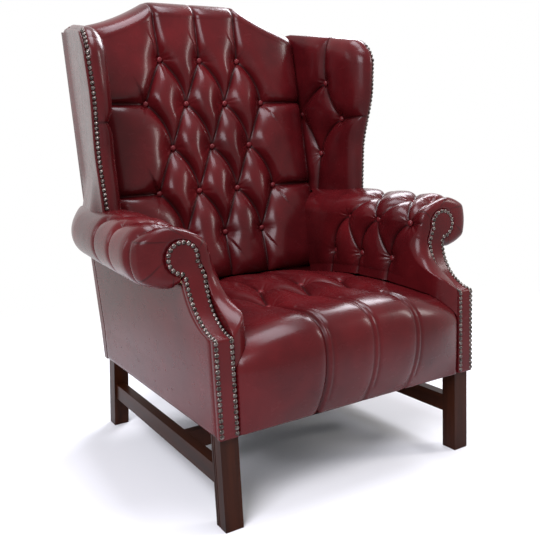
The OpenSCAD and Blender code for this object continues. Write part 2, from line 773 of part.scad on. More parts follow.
// Wooden arm stump behind the facing, and the rail inside the roll
stump_depth = 32;
stump_inset = 9;
stump_scroll = 26;
stump_scroll_shift = 6;
stump_scroll_x = scroll_x + stump_scroll_shift;
arm_rail_inner = 334;
arm_rail_outer = 366;
arm_rail_low = 528;
arm_rail_high = 556;
stump_back_y = scroll_front_y + facing_thick + stump_depth;

module arm_stump() {
    color(beech) placed() intersection() {
        facing_band(facing_thick, stump_depth);
        facing_outline(stump_inset, outer_gap, stump_scroll, stump_scroll_x);
        translate([0, 0, rail_top_z]) cube([leg_span, frame_depth, crest_height]);
    }
}

module arm_rail() {
    color(beech) placed() across(arm_rail_inner, arm_rail_outer - arm_rail_inner)
        polygon([[stump_back_y, arm_rail_low], [post_front(arm_rail_low), arm_rail_low],
                 [post_front(arm_rail_high), arm_rail_high], [stump_back_y, arm_rail_high]]);
}

// Shape of the seat's top, which the arms and the back come down to
seat_half = facing_inner_x - 3 * soft_gap;
seat_peak_y = seat_row_y + seat_row_pitch;
seat_back_y = 575;
seat_meet_y = 548;
nose_start_y = 60;
seat_front_fall = 12;
seat_rear_fall = 34;

function seat_crown(y) = seat_height
    - (y < seat_peak_y ? seat_front_fall * pow((seat_peak_y - y) / (seat_peak_y - nose_start_y), 2)
                       : seat_rear_fall * pow((y - seat_peak_y) / (seat_back_y - seat_peak_y), 2));
function seat_top(x, y) = seat_crown(y) - seat_edge_drop * pow(abs(x) / seat_half, 3);
function nose_out(x) = nose_swell * (1 - pow(abs(x) / seat_half, 4));
function seat_side_z(x, y) = y >= nose_start_y ? seat_top(x, y)
    : nose_z + (seat_top(x, nose_start_y) - nose_z)
        * sqrt(1 - pow(min(1, (nose_start_y - y) / (nose_start_y - facing_front_y + nose_out(x))), 2));

// Arm covers: a padded wall that leads up into a roll, with a rim around the facing
wall_foot_x = arm_inner_x - arm_inner_lean;
arm_seat_gap = 2;
arm_lift_share = 0.04;
roll_lean = 26;
roll_rise = 13;
roll_taper = 6;
roll_front_y = 117;
roll_rear_y = 690;
roll_end = -125;
roll_end_rear = -86;
rear_tuck = 30;
rear_tuck_y = 560;
rim_depth = 42;
rim_inset = 2;
rim_web = 7;
rim_steps = 4;
scroll_start = 190;
scroll_end = -75;
arm_fine_steps = 15;
arm_tail_steps = 4;
roll_top_end_y = 652;
roll_out_end_y = 686;
roll_join_angle = 125;
roll_join_span = 20;
roll_side_angle = 60;
roll_side_span = 30;
arm_padding = 16;
low_share = 0.38;
corner_row_share = 0.29;
first_row_share = 0.15;
top_share = 0.245;

function arm_foot(y) = [wall_foot_x, seat_side_z(wall_foot_x, y) + arm_seat_gap];
function arm_share(y) = within((y - roll_front_y) / (roll_rear_y - roll_front_y));
function roll_centre(y) = [roll_x - roll_lean * arm_share(y), roll_z + roll_rise * arm_share(y)];
function roll_size(y) = roll_radius - roll_taper * arm_share(y);

// The roll is wider on its inner side than on its outer side
function roll_stretch(a, y) = a > 90 ? (roll_centre(y)[0] - arm_inner_x) / roll_size(y) : 1;
function arm_tangent(y) =
    let (d = arm_foot(y) - roll_centre(y), e = [d[0] / roll_stretch(180, y), d[1]])
    360 + atan2(e[1], e[0]) - acos(roll_size(y) / norm(e));
function roll_angle(q, y) = mix(arm_tangent(y), mix(roll_end, roll_end_rear, arm_share(y)), max(q, 1) - 1);
function arm_normal(q, y) =
    let (a = roll_angle(q, y), n = [cos(a) / roll_stretch(a, y), sin(a)]) n / norm(n);
function arm_shape(q, y, inset) =
    let (n = arm_normal(q, y), a = roll_angle(q, y),
         s = roll_centre(y) + roll_size(y) * [roll_stretch(a, y) * cos(a), sin(a)],
         tuck = rear_tuck * pow(within((y - rear_tuck_y) / (roll_rear_y - rear_tuck_y)), 2) * max(0, n[0]))
    mix(arm_foot(y), s, min(q, 1)) - inset * n - [tuck, 0];

// Outline that the leather follows around the facing, and the hollow around the stump
neck_close_z = scroll_z - scroll_radius * sin(scroll_open);
rim_foot_y = facing_front_y + rim_inset;
function rim_inner_x(z) =
    mix(facing_inner_x, scroll_x - scroll_radius * cos(scroll_open), within((z - notch_z) / (neck_close_z - notch_z)));
function ring(q, radius, x) =
    let (a = mix(scroll_start, scroll_end, q - 1)) [x + radius * cos(a), scroll_z + radius * sin(a)];
function rim_z(q, y) = mix(seat_side_z(facing_inner_x, y) + arm_seat_gap, neck_close_z, q);
function rim_at(q, y) = q < 1 ? [rim_inner_x(rim_z(q, y)) - soft_gap, rim_z(q, y)]
                              : ring(q, scroll_radius + soft_gap, scroll_x);
function hollow_at(q, y) = q < 1 ? rim_at(q, y) + [stump_inset - rim_inset, 0]
                                 : ring(q, stump_scroll + rim_inset, stump_scroll_x);
function rim_y(q, depth) = facing_y(q < 1 ? rim_z(q, rim_foot_y + depth) : scroll_z) + rim_inset + depth;
function arm_end_y(q) =
    let (a = roll_angle(q, roll_rear_y),
         meet = button_plane(arm_shape(q, rear_tuck_y, 0)[1]) - back_crown - soft_gap)
    a > 90 ? mix(meet, roll_top_end_y, within((roll_join_angle - a) / roll_join_span))
           : mix(roll_top_end_y, roll_out_end_y, within((roll_side_angle - a) / roll_side_span));

wall_length = norm(arm_shape(1, roll_front_y, 0) - arm_foot(roll_front_y));
roll_length = (arm_tangent(roll_front_y) - roll_end) * PI / 180 * roll_radius;
arm_low_row = [for (k = [0 : 2]) [arm_first_y + (k + 0.5) * arm_pitch, low_share * wall_length]];
arm_high_row = [for (k = [0 : 2]) [arm_first_y + k * arm_pitch, wall_length]];
arm_top_row = [for (k = [0 : 2])
    [max(arm_first_y, arm_first_y + (k - 0.5) * arm_pitch), wall_length + top_share * roll_length]];
arm_pleat_reach = arm_pitch * 0.43;
arm_qs = concat([0, first_row_share, corner_row_share, low_share],
                [for (k = [1 : 3]) mix(low_share, 1, k / 3)],
                [for (k = [1 : 6]) 1 + top_share * k / 6],
                [for (k = [1 : 8]) 1 + mix(top_share, 1, k / 8)]);
arm_last_y = arm_first_y + arm_fine_steps * arm_pitch / 6;
arm_pleats = concat(
    [for (k = [0 : 2]) [arm_low_row[k], arm_high_row[k], 1, 1, pleat_lift]],
    [for (k = [0 : 1]) [arm_low_row[k], arm_high_row[k + 1], 1, 1, pleat_lift]],
    [for (k = [0 : 2]) [arm_high_row[k], arm_top_row[k], 1, 1, pleat_lift]],
    [for (k = [0 : 1]) [arm_high_row[k], arm_top_row[k + 1], 1, 1, pleat_lift]],
    [for (p = arm_low_row) [p, [p[0], 0], 1, 1, 0]],
    [for (p = arm_top_row) [p, [p[0], wall_length + roll_length], 1, 0.4, 0]],
    [[arm_high_row[0], [roll_front_y, wall_length], 1, 0.2, 0]]);

function arm_along(q) = q < 1 ? q * wall_length : wall_length + (q - 1) * roll_length;
function arm_y(q, j) =
    j <= rim_steps ? rim_y(q, 0) + rim_depth * (1 - cos(90 * j / rim_steps))
    : j <= rim_steps + 1 + arm_fine_steps ? arm_first_y + (j - rim_steps - 1) * arm_pitch / 6
    : mix(arm_last_y, arm_end_y(q), (j - rim_steps - 1 - arm_fine_steps) / arm_tail_steps);
function arm_low(q, j) = tuft_low([arm_y(q, j), arm_along(q)], arm_pleats, arm_pleat_reach);
function arm_point(q, j) =
    let (y = arm_y(q, j), rim = sin(90 * min(j, rim_steps) / rim_steps),
         s = mix(rim_at(q, rim_foot_y), arm_shape(q, y, arm_tuft_depth * arm_low(q, j)), rim),
         foot = mix(rim_at(0, rim_foot_y), arm_foot(y), rim),
         lift = seat_side_z(foot[0], y) + arm_seat_gap - foot[1])
    [s[0], y, s[1] + lift * max(0, 1 - q)];

module arm_cover() {
    js = [0 : rim_steps + 1 + arm_fine_steps + arm_tail_steps];
    front = [for (q = arm_qs) [for (j = js) arm_point(q, j)]];
    low = [for (q = arm_qs) [for (j = js) arm_low(q, j)]];
    hollow_y = stump_back_y + rim_inset;
    lap = facing_thick + soft_gap;
    web = facing_thick + rim_web;
    back = [for (q = arm_qs)
        let (e = rim_at(q, rim_foot_y + lap), h = hollow_at(q, rim_foot_y + web), g = hollow_at(q, hollow_y))
        concat([[e[0], rim_y(q, lap), e[1]], [h[0], rim_y(q, web), h[1]], [g[0], hollow_y, g[1]]],
               [for (y = [hollow_y + rim_inset, seat_peak_y, arm_last_y, arm_end_y(q)])
                   let (r = arm_shape(max(q, arm_lift_share), y, arm_padding)) [r[0], y, r[1]]])];
    color(oxblood) placed() padded_form(front, back, low);
}

module arm_button_at(y, q) {
    s = arm_shape(q, y, arm_tuft_depth - soft_gap);
    n = arm_normal(q, y);
    translate([s[0], y, s[1]]) rotate([0, atan2(n[0], n[1]), 0]) covered_button();
}

module arm_buttons() {
    placed() {
        for (p = arm_low_row) arm_button_at(p[0], low_share);
        for (p = arm_high_row) arm_button_at(p[0], 1);
        for (p = arm_top_row) arm_button_at(p[0], 1 + top_share);
    }
}

// Outside arm panel, which widens towards the scroll and the post
outside_arm_top = 486;
outside_arm_rear_top = 496;
outside_arm_flat_y = 300;
outside_arm_heights = [0, 0.3, 0.66, 0.7, 0.75, 0.8, 0.88, 0.94, 1];
shell_step = 1;
wing_foot_z = roll_z + roll_rise + roll_radius - roll_taper + soft_gap;

function arm_panel_top(i) = i == 0 ? outside_arm_top : i < 3 ? outside_arm_rear_top : wing_foot_z - soft_gap;
function arm_panel_y(i, z) =
    i == 0 ? facing_y(z) + facing_thick + soft_gap
    : i == 1 ? outside_arm_flat_y
    : i == 2 ? post_front(z) - rim_inset - shell_step
    : i == 3 ? post_front(z) - rim_inset
    : post_back(z);
function arm_panel_x(i, z) = half_span + soft_gap + (i == 0 ? flare_at(z) : i == 1 ? 0 : post_outer(z) - half_span);

module outside_arm() {
    function spot(i, t, out) =
        let (z = mix(leg_show, arm_panel_top(i), t)) [arm_panel_x(i, z) + out, arm_panel_y(i, z), z];
    front = [for (i = [0 : 4]) [for (t = outside_arm_heights) spot(i, t, panel_thick)]];
    back = [for (i = [0 : 4]) [for (t = outside_arm_heights) spot(i, t, 0)]];
    level = [for (c = front) [for (p = c) 0]];
    color(oxblood) placed() padded_form(front, back, level);
}

// Nails: straight rows, the sweep and the scroll
nail_face = 0.45;
nail_first_z = leg_show + nail_margin + nail_dia / 4;
scroll_nail_radius = scroll_radius - nail_margin;
scroll_nail_start = 196;
scroll_nail_end = -84;
straight_nails = floor((facing_corner_z - nail_first_z) / nail_pitch);
sweep_nails = round((90 - asin(corner_share)) * PI / 180 * (sweep_height + sweep_depth) / 2 / nail_pitch);
scroll_nails = round((scroll_nail_start - scroll_nail_end) * PI / 180 * scroll_nail_radius / nail_pitch);

module nail() {
    cylinder(h = nail_height, d1 = nail_dia, d2 = nail_dia * nail_face);
}

module facing_nail(z, x, lean) {
    translate([x, facing_y(z), z]) rotate([90 - lean, 0, 0]) nail();
}

module facing_nails() {
    color(bronze) placed() {
        for (k = [0 : straight_nails]) {
            z = mix(nail_first_z, facing_corner_z - nail_pitch / 2, k / straight_nails);
            facing_nail(z, facing_outer(z) - nail_margin, 0);
            facing_nail(z, facing_inner_x + nail_margin, 0);
        }
        for (k = [1 : sweep_nails - 1]) {
            angle = mix(asin(corner_share), 90, k / sweep_nails);
            z = neck_z - sweep_height * cos(angle);
            lean = 90 - angle;
            if (z < notch_z) facing_nail(z, facing_outer(z) - nail_margin, lean);
            facing_nail(z, rim_inner_x(z) + nail_margin, lean);
        }
        facing_nail(neck_z + nail_pitch / 2, rim_inner_x(neck_z) + nail_margin, 0);
        for (k = [0 : scroll_nails]) {
            angle = mix(scroll_nail_start, scroll_nail_end, k / scroll_nails);
            facing_nail(scroll_z + scroll_nail_radius * sin(angle), scroll_x + scroll_nail_radius * cos(angle), 0);
        }
    }
}

// Seat cover: a tufted top that rolls over the front edge
nose_run = 157;
lower_run = 128;
nose_steps = 6;
lower_steps = 5;
seat_columns = 14;
seat_rear_steps = 4;
seat_between_steps = 3;
seat_pleat_reach = button_pitch / 2;
seat_pleat_drift = 3.5;
seat_tops = concat([for (k = [0 : seat_rear_steps]) mix(seat_back_y, seat_peak_y, k / seat_rear_steps)],
                   [for (k = [1 : seat_between_steps]) mix(seat_peak_y, seat_row_y, k / seat_between_steps)],
                   [mix(seat_row_y, nose_start_y, 0.5)]);
seat_stations = len(seat_tops) + nose_steps + 1 + lower_steps;

function seat_column_x(k) = abs(k) > seat_columns ? sign(k) * seat_half : k * button_pitch / 6;
function seat_along(i) =
    i < len(seat_tops) ? seat_tops[i]
    : nose_start_y - (i < len(seat_tops) + nose_steps ? nose_run * (i - len(seat_tops)) / nose_steps
                      : nose_run + lower_run * (i - len(seat_tops) - nose_steps) / lower_steps);
seat_front_row = [for (k = [-1 : 1]) [k * button_pitch, seat_row_y]];
seat_rear_row = [for (k = [-1.5 : 1 : 1.5]) [k * button_pitch, seat_peak_y]];
seat_pleats = concat(
    [for (a = seat_front_row) for (b = seat_rear_row) if (abs(a[0] - b[0]) < button_pitch)
        [a, b, 1, 1, pleat_lift]],
    [for (a = seat_front_row) [a, [a[0] + seat_pleat_drift, nose_start_y - nose_run - lower_run], 1, 0.25, 0]],
    [for (b = seat_rear_row) [b, [b[0], seat_back_y], 1, 0.6, 0]],
    [for (side = [-1, 1]) [[side * button_pitch * 1.5, seat_peak_y], [side * seat_half, seat_peak_y], 1, 0.7, 0]]);
function seat_low(x, i) = tuft_low([x, seat_along(i)], seat_pleats, seat_pleat_reach);
function seat_point(x, i) =
    let (deep = seat_tuft_depth * seat_low(x, i),
         turn = 90 + 90 * (i - len(seat_tops)) / nose_steps,
         down = (i - len(seat_tops) - nose_steps) / lower_steps)
    i < len(seat_tops) ? [x, seat_tops[i], seat_top(x, seat_tops[i]) - deep]
    : down <= 0
        ? [x, nose_start_y + (nose_start_y - facing_front_y + nose_out(x) - deep) * cos(turn),
           nose_z + (seat_top(x, nose_start_y) - nose_z - deep) * sin(turn)]
        : [x, facing_front_y - nose_out(x) * (1 - down * down) + deep, mix(nose_z, leg_show, down)];
function seat_inner(i) =
    i < len(seat_tops) ? [seat_tops[i], seat_under_z]
    : i == len(seat_tops) ? [-soft_gap, seat_under_z]
    : [-soft_gap, mix(seat_under_z, leg_show, (i - len(seat_tops)) / (nose_steps + lower_steps))];

module seat_cover() {
    xs = [for (k = [-seat_columns - 1 : seat_columns + 1]) seat_column_x(k)];
    stations = [0 : seat_stations - 1];
    front = [for (i = stations) [for (x = xs) seat_point(x, i)]];
    low = [for (i = stations) [for (x = xs) seat_low(x, i)]];
    back = [for (i = stations) [for (x = [-seat_half, seat_half]) [x, seat_inner(i)[0], seat_inner(i)[1]]]];
    color(oxblood) placed() padded_form(front, back, low);
}

module seat_buttons() {
    placed() for (p = concat(seat_front_row, seat_rear_row))
        translate([p[0], p[1], seat_top(p[0], p[1]) - seat_tuft_depth + soft_gap]) covered_button();
}

// Wings: a surface that flares to the front, with a rounded border
wing_lean = 3.5;
wing_hollow = 34;
wing_hollow_low_z = 720;
wing_hollow_high_z = 900;
wing_border = 28;
wing_border_steps = 4;
wing_inner_step = 44;
wing_inner_low_x = 336;
wing_inner_high_x = 352;
wing_edge_inset = 4;
wing_panel_inset = 10;
wood_room = 1.5;
wing_slope_y = 440;
wing_spread_y = 250;
wing_columns = [0, 0.14, 0.28, 0.42, 0.56, 0.71, 0.86, 1];
wing_rows = [0, 0.14, 0.27, 0.4, 0.54, 0.66, 0.78, 0.89, 1];
wing_turns = [for (k = [wing_border_steps : -1 : 0]) wing_border * (1 - cos(90 * k / wing_border_steps))];
wing_warp = 0.07;

function ease(t) = (1 - cos(180 * within(t))) / 2;
function wing_front(z) = wing_front_y
    + wing_hollow * (1 - ease((z - wing_hollow_low_z) / (wing_hollow_high_z - wing_hollow_low_z)));
function wing_top(y) = min(shoulder_z, mix(wing_top_z, shoulder_z, (y - wing_slope_y) / wing_spread_y));
function wing_rear(z) = post_front(z) - soft_gap;
function wing_run(y, z) = within((wing_rear(z) - y) / (wing_rear(z) - wing_front(z)));
function wing_shell(y, z) =
    mix(shell_outer(z), wing_front_x - (wing_top_z - z) * tan(wing_lean), wing_run(y, z));
function wing_inner(y, z) =
    mix(back_half(z) + 2 * soft_gap,
        mix(wing_inner_low_x, wing_inner_high_x, within((z - wing_foot_z) / (wing_top_z - wing_foot_z))),
        wing_run(y, z));

// Distances from the front and top edges, drawn in around the corner
function corner_pull(dx, dz) =
    dx >= wing_corner || dz >= wing_corner ? [dx, dz]
    : let (p = [wing_corner - dx, wing_corner - dz]) [wing_corner, wing_corner] - (max(p) / norm(p)) * p;

// Point of a wing's outline grid: its Y and Z, and its distance from the edge
function wing_column_y(share, turn, z, rear, inset) =
    turn < 0 ? mix(rear, wing_front(z) + wing_inner_step + inset,
                   share - wing_warp * 4 * share * (1 - share)
                       * within((wing_spots[0][1] - z) / (wing_spots[0][1] - wing_spots[2][1])))
    : wing_front(z) + wing_turns[turn] + inset;
function wing_spot(i, j, columns, rows, to_back, inset) =
    let (share = i < len(columns) ? columns[i] : 1, turn = i - len(columns),
         lift = j < len(rows) ? rows[j] : 1, rise = j - len(rows),
         z_guess = mix(wing_foot_z, wing_top_z - wing_inner_step, lift),
         y_guess = wing_column_y(share, turn, z_guess, to_back ? post_back(z_guess) : wing_rear(z_guess), inset),
         top = wing_top(y_guess),
         z = rise < 0 ? mix(wing_foot_z, top - wing_inner_step - inset, lift) : top - wing_turns[rise] - inset,
         y = wing_column_y(share, turn, z, to_back ? post_back(z) : wing_rear(z), inset),
         p = corner_pull(y - wing_front(z), top - z))
    [wing_front(z) + p[0], top - p[1], min(y - wing_front(z), top - z)];

wing_spot_shares = [[0.579, 0.6585], [0.342, 0.433], [0.662, 0.229], [0.96, 0.4845]];
wing_spots = [for (s = wing_spot_shares)
    [mix(wing_front_y, frame_depth, s[0]), mix(wing_foot_z, shoulder_z, s[1])]];
wing_pleat_reach = 55;
wing_pleats = [
    [wing_spots[0], [wing_slope_y, shoulder_z + wing_border], 1, 0.5, 0],
    [wing_spots[0], wing_spots[3], 1, 1, pleat_lift], [wing_spots[0], wing_spots[1], 1, 1, pleat_lift],
    [wing_spots[1], [0, wing_spots[1][1]], 1, 1, 0], [wing_spots[1], wing_spots[2], 1, 1, pleat_lift],
    [wing_spots[3], wing_spots[2], 1, 1, pleat_lift], [wing_spots[3], [frame_depth + post_depth, wing_spots[3][1]], 1, 1, 0],
    [wing_spots[2], [wing_spots[2][0], 0], 1, 1, 0]];
function wing_low(p) = tuft_low([p[0], p[1]], wing_pleats, wing_pleat_reach);
function wing_back_inset(d) =
    d < wing_panel_inset / 2 ? 0 : d < wing_border + over ? outer_gap : outer_gap + wing_wood + soft_gap + wood_room;

module wing_cover() {
    is = [0 : len(wing_columns) + wing_border_steps];
    js = [0 : len(wing_rows) + wing_border_steps];
    spots = [for (i = is) [for (j = js) wing_spot(i, j, wing_columns, wing_rows, false, 0)]];
    front = [for (c = spots) [for (p = c)
        let (edge = wing_shell(p[0], p[1]) - wing_edge_inset)
        [mix(edge, wing_inner(p[0], p[1]) + wing_tuft_depth * wing_low(p), puff(p[2] / wing_border)), p[0], p[1]]]];
    low = [for (c = spots) [for (p = c) wing_low(p)]];
    back = [for (c = spots) [for (p = c) [wing_shell(p[0], p[1]) - wing_back_inset(p[2]), p[0], p[1]]]];
    color(oxblood) placed() padded_form(front, back, low);
}

module outside_wing() {
    columns = [0, 0.5, 1];
    rows = [0, 0.35, 0.7, 1];
    spots = [for (i = [0 : len(columns) + wing_border_steps])
        [for (j = [0 : len(rows) + wing_border_steps]) wing_spot(i, j, columns, rows, true, wing_panel_inset)]];
    level = [for (c = spots) [for (p = c) 0]];
    color(oxblood) placed()
        padded_form([for (c = spots) [for (p = c) [wing_shell(p[0], p[1]) - panel_thick, p[0], p[1]]]],
                    [for (c = spots) [for (p = c) [wing_shell(p[0], p[1]), p[0], p[1]]]], level);
}

// Wing frames: an upright with a foot that runs back to the post, and a top rail
wing_stile_front_y = 474;
wing_stile_width = 30;
wing_stile_lean = 2.2;
wing_stile_turn = 9.5;
wing_rail_turn = 10.4;
wing_rail_height = 40;
wing_frame_inset = 47;
wing_frame_gap = 1.5;

module behind_posts() {
    on_posts() translate([0, -post_depth, -frame_depth]) cube([leg_span, frame_depth, 3 * frame_depth]);
}

module wing_stile() {
    rear_y = post_front(wing_foot_z);
    front = wing_stile_front_y - rear_y;
    rise = wing_top(wing_stile_front_y) - wing_frame_inset - wing_rail_height - wing_foot_z;
    slope = (shoulder_z - wing_top_z) / wing_spread_y * wing_stile_width;
    color(beech) placed() difference() {
        translate([post_outer(wing_foot_z) - wing_frame_gap, rear_y, wing_foot_z])
            rotate([0, 0, wing_stile_turn]) rotate([0, wing_stile_lean, 0]) across(-wing_wood, wing_wood)
                polygon([[front, 0], [wing_stile_width, 0], [wing_stile_width, wing_rail_height],
                         [front + wing_stile_width, wing_rail_height], [front + wing_stile_width, rise + slope],
                         [front, rise]]);
        behind_posts();
    }
}

module wing_top_rail() {
    rear_y = post_front(shoulder_z - wing_frame_inset);
    low = wing_top(wing_stile_front_y) - wing_frame_inset - wing_rail_height;
    high = shoulder_z - wing_frame_inset - wing_rail_height;
    front = wing_stile_front_y - rear_y;
    color(beech) placed() difference() {
        translate([post_outer(shoulder_z) - wing_frame_gap, rear_y, 0]) rotate([0, 0, wing_rail_turn])
            across(-wing_wood, wing_wood)
                polygon([[front, low], [wing_stile_width, high + wing_stile_width * (high - low) / -front],
                         [wing_stile_width, high + wing_rail_height], [0, high + wing_rail_height],
                         [front, low + wing_rail_height]]);
        behind_posts();
    }
}

// Nails along a wing's outer front edge and around its corner
wing_nail_inset = wing_edge_inset + nail_margin;
wing_nail_arc = 60;
wing_nail_top = wing_top(wing_slope_y) - wing_corner;
wing_straight_nails = floor((wing_nail_top - wing_foot_z - nail_dia) / nail_pitch);
wing_arc_nails = round(wing_nail_arc * PI / 180 * wing_corner / nail_pitch);

module wing_nails() {
    color(bronze) placed() {
        for (k = [0 : wing_straight_nails]) {
            z = mix(wing_foot_z + nail_dia, wing_nail_top, k / wing_straight_nails);
            translate([wing_shell(wing_front(z), z) - wing_nail_inset, wing_front(z), z])
                rotate([90, 0, 0]) nail();
        }
        for (k = [1 : wing_arc_nails]) {
            turn = wing_nail_arc * k / wing_arc_nails;
            y = wing_front_y + wing_corner * (1 - cos(turn));
            z = wing_top(y) - wing_corner * (1 - sin(turn));
            translate([wing_shell(y, z) - wing_nail_inset, y, z]) rotate([90 - turn, 0, 0]) nail();
        }
    }
}

module wing_buttons() {
    placed() for (p = wing_spots)
        translate([wing_inner(p[0], p[1]) + wing_tuft_depth - soft_gap, p[0], p[1]])
            rotate([0, -90, 0]) covered_button();
}

// Named pieces
module corner_block_front_left() sided(true) corner_block_piece(false);
module corner_block_front_right() sided(false) corner_block_piece(false);
module corner_block_rear_left() sided(true) corner_block_piece(true);
module corner_block_rear_right() sided(false) corner_block_piece(true);
module front_leg_left() sided(true) front_leg();
module front_leg_right() sided(false) front_leg();
module rear_leg_left() sided(true) rear_leg();
module rear_leg_right() sided(false) rear_leg();
module side_stretcher_left() sided(true) side_stretcher();
module side_stretcher_right() sided(false) side_stretcher();
module side_seat_rail_left() sided(true) side_seat_rail();
module side_seat_rail_right() sided(false) side_seat_rail();
module back_post_left() sided(true) back_post();
module back_post_right() sided(false) back_post();
module arm_stump_left() sided(true) arm_stump();
module arm_stump_right() sided(false) arm_stump();
module arm_rail_left() sided(true) arm_rail();
module arm_rail_right() sided(false) arm_rail();
module wing_stile_left() sided(true) wing_stile();
module wing_stile_right() sided(false) wing_stile();
module wing_top_rail_left() sided(true) wing_top_rail();
module wing_top_rail_right() sided(false) wing_top_rail();
module arm_cover_left() sided(true) arm_cover();
module arm_cover_right() sided(false) arm_cover();
module outside_arm_left() sided(true) outside_arm();
module outside_arm_right() sided(false) outside_arm();
module arm_facing_left() sided(true) arm_facing();
module arm_facing_right() sided(false) arm_facing();
module facing_nails_left() sided(true) facing_nails();
module facing_nails_right() sided(false) facing_nails();
module arm_buttons_left() sided(true) arm_buttons();
module arm_buttons_right() sided(false) arm_buttons();
module wing_cover_left() sided(true) wing_cover();
module wing_cover_right() sided(false) wing_cover();
module outside_wing_left() sided(true) outside_wing();
module outside_wing_right() sided(false) outside_wing();
module wing_nails_left() sided(true) wing_nails();
module wing_nails_right() sided(false) wing_nails();
module wing_buttons_left() sided(true) wing_buttons();
module wing_buttons_right() sided(false) wing_buttons();
module front_seat_rail() end_rail(front_rail_y);
module rear_seat_rail() end_rail(rear_rail_y);

front_leg_left();
front_leg_right();
rear_leg_left();
rear_leg_right();
side_stretcher_left();
side_stretcher_right();
cross_stretcher();
front_seat_rail();
rear_seat_rail();
side_seat_rail_left();
side_seat_rail_right();
corner_block_front_left();
corner_block_front_right();
corner_block_rear_left();
corner_block_rear_right();
corner_block_screws();
back_post_left();
back_post_right();
crest_rail();
lower_back_rail();
arm_stump_left();
arm_stump_right();
arm_rail_left();
arm_rail_right();
wing_stile_left();
wing_stile_right();
wing_top_rail_left();
wing_top_rail_right();
seat_springs();
spring_clips();
seat_hessian();
seat_padding();
seat_cover();
seat_buttons();
back_webbing();
back_padding();
back_cover();
back_buttons();
outside_back();
post_pads();
arm_cover_left();
arm_cover_right();
outside_arm_left();
outside_arm_right();
arm_facing_left();
arm_facing_right();
facing_nails_left();
facing_nails_right();
arm_buttons_left();
arm_buttons_right();
wing_cover_left();
wing_cover_right();
outside_wing_left();
outside_wing_right();
wing_nails_left();
wing_nails_right();
wing_buttons_left();
wing_buttons_right();
dust_cover();
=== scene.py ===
# %% [markdown]
# # A wing chair in deep-buttoned leather
# The chair has a wooden frame, square legs with stretchers, and leather that is pulled down at covered
# buttons. The frame comes from the imported model, where each piece of wood already has its right shape.
# The leather is made again here as fine meshes, because its folds are what the eye looks at. This first
# cell loads the frame and hangs its pieces on their bodies.

# %% Load the frame
import json
import math
import bpy
import bmesh
import numpy as np
from mathutils import Matrix, Vector

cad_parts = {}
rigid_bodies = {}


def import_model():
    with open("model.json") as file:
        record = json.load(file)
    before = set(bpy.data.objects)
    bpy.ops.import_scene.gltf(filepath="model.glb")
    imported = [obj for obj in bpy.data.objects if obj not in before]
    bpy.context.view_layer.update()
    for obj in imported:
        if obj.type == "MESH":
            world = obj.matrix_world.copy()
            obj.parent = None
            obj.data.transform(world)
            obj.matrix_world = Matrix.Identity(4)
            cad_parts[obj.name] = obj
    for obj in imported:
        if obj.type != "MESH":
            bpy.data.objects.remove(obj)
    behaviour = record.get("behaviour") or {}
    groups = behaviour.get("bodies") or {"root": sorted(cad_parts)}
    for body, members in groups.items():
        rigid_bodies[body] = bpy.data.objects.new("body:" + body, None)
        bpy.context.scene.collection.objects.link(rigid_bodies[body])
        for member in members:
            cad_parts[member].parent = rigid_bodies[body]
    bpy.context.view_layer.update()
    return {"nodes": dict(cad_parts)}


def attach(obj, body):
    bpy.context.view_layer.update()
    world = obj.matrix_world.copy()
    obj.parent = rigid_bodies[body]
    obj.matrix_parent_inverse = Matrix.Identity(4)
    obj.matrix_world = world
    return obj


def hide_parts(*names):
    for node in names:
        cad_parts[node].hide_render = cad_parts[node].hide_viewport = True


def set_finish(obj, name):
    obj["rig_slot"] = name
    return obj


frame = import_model()
nodes = frame["nodes"]
scene = bpy.context.scene
scene.view_settings.view_transform = "Standard"

# %% [markdown]
# ## Sizes
# All shapes below are worked out in millimetres, with the front faces of the front legs at
# zero depth, as an upholsterer would measure them. One function turns such points into the
# frame's metres. The sizes repeat the frame's own, so that the leather fits the wood.

# %% Sizes of the frame
MIDDLE_DEPTH = 366.788
HALF_SPAN, LEG_SHOW, RAIL_TOP = 332.5, 198.0, 285.0
FRAME_DEPTH, POST_DEPTH, FRONT_FACE = 671.0, 45.0, -11.0
CREST, SHOULDER, ARM_HEIGHT = 1153.0, 1080.0, 510.0
GAP, SKIN, FACING_WIDE = 0.4, 5.0, 43.0
FACING_OUT = HALF_SPAN + GAP + SKIN
FACING_IN = FACING_OUT - FACING_WIDE


def to_frame(points):
    """Millimetres from the legs' faces to metres in the frame."""
    return (np.asarray(points, float) - [0, MIDDLE_DEPTH, 0]) / 1000


print("facing from", round(FACING_IN, 1), "to", round(FACING_OUT, 1), "mm from the middle")

# %% [markdown]
# ## Swelling curves
# Leather over a pad leaves a seam steeply and then levels out. It could be sculpted by eye.
# A few small curves from 0 to 1 describe it instead, so that every edge and fold of the
# chair swells in the same way and can be changed in one place.

# %% Curves from 0 to 1
def mix(a, b, t):
    return a + (b - a) * t


def unit(t):
    return np.clip(t, 0, 1)


def puff(t):
    """Quarter circle: how leather swells away from a seam."""
    t = unit(t)
    return np.sqrt(t * (2 - t))


def soft_edge(t):
    """Like puff, but it runs into the flat part without a line in the reflections."""
    return np.sqrt(1 - (1 - unit(t)) ** 3)


def ease(t):
    """A slow start and a slow end."""
    return (1 - np.cos(np.pi * unit(t))) / 2


print("a tenth of the way in:", [round(float(curve(0.1)), 2) for curve in (puff, soft_edge, ease)])

# %% [markdown]
# ## The posts behind the leather
# The two rear posts lean back above the seat and flare a little outward. The back, the wings
# and the outside panels all end on them. Their faces could be measured on the frame's meshes.
# As functions of the height they give the same lines, and every grid can ask them directly.

# %% Faces of the posts
RAKE_ANGLE = math.radians(7)
ARM_FLARE, TOP_FLARE = 5.0, 9.0


def post_back(z):
    return FRAME_DEPTH + np.maximum(0, z - RAIL_TOP) * math.tan(RAKE_ANGLE)


def post_front(z):
    return post_back(z) - POST_DEPTH / math.cos(RAKE_ANGLE)


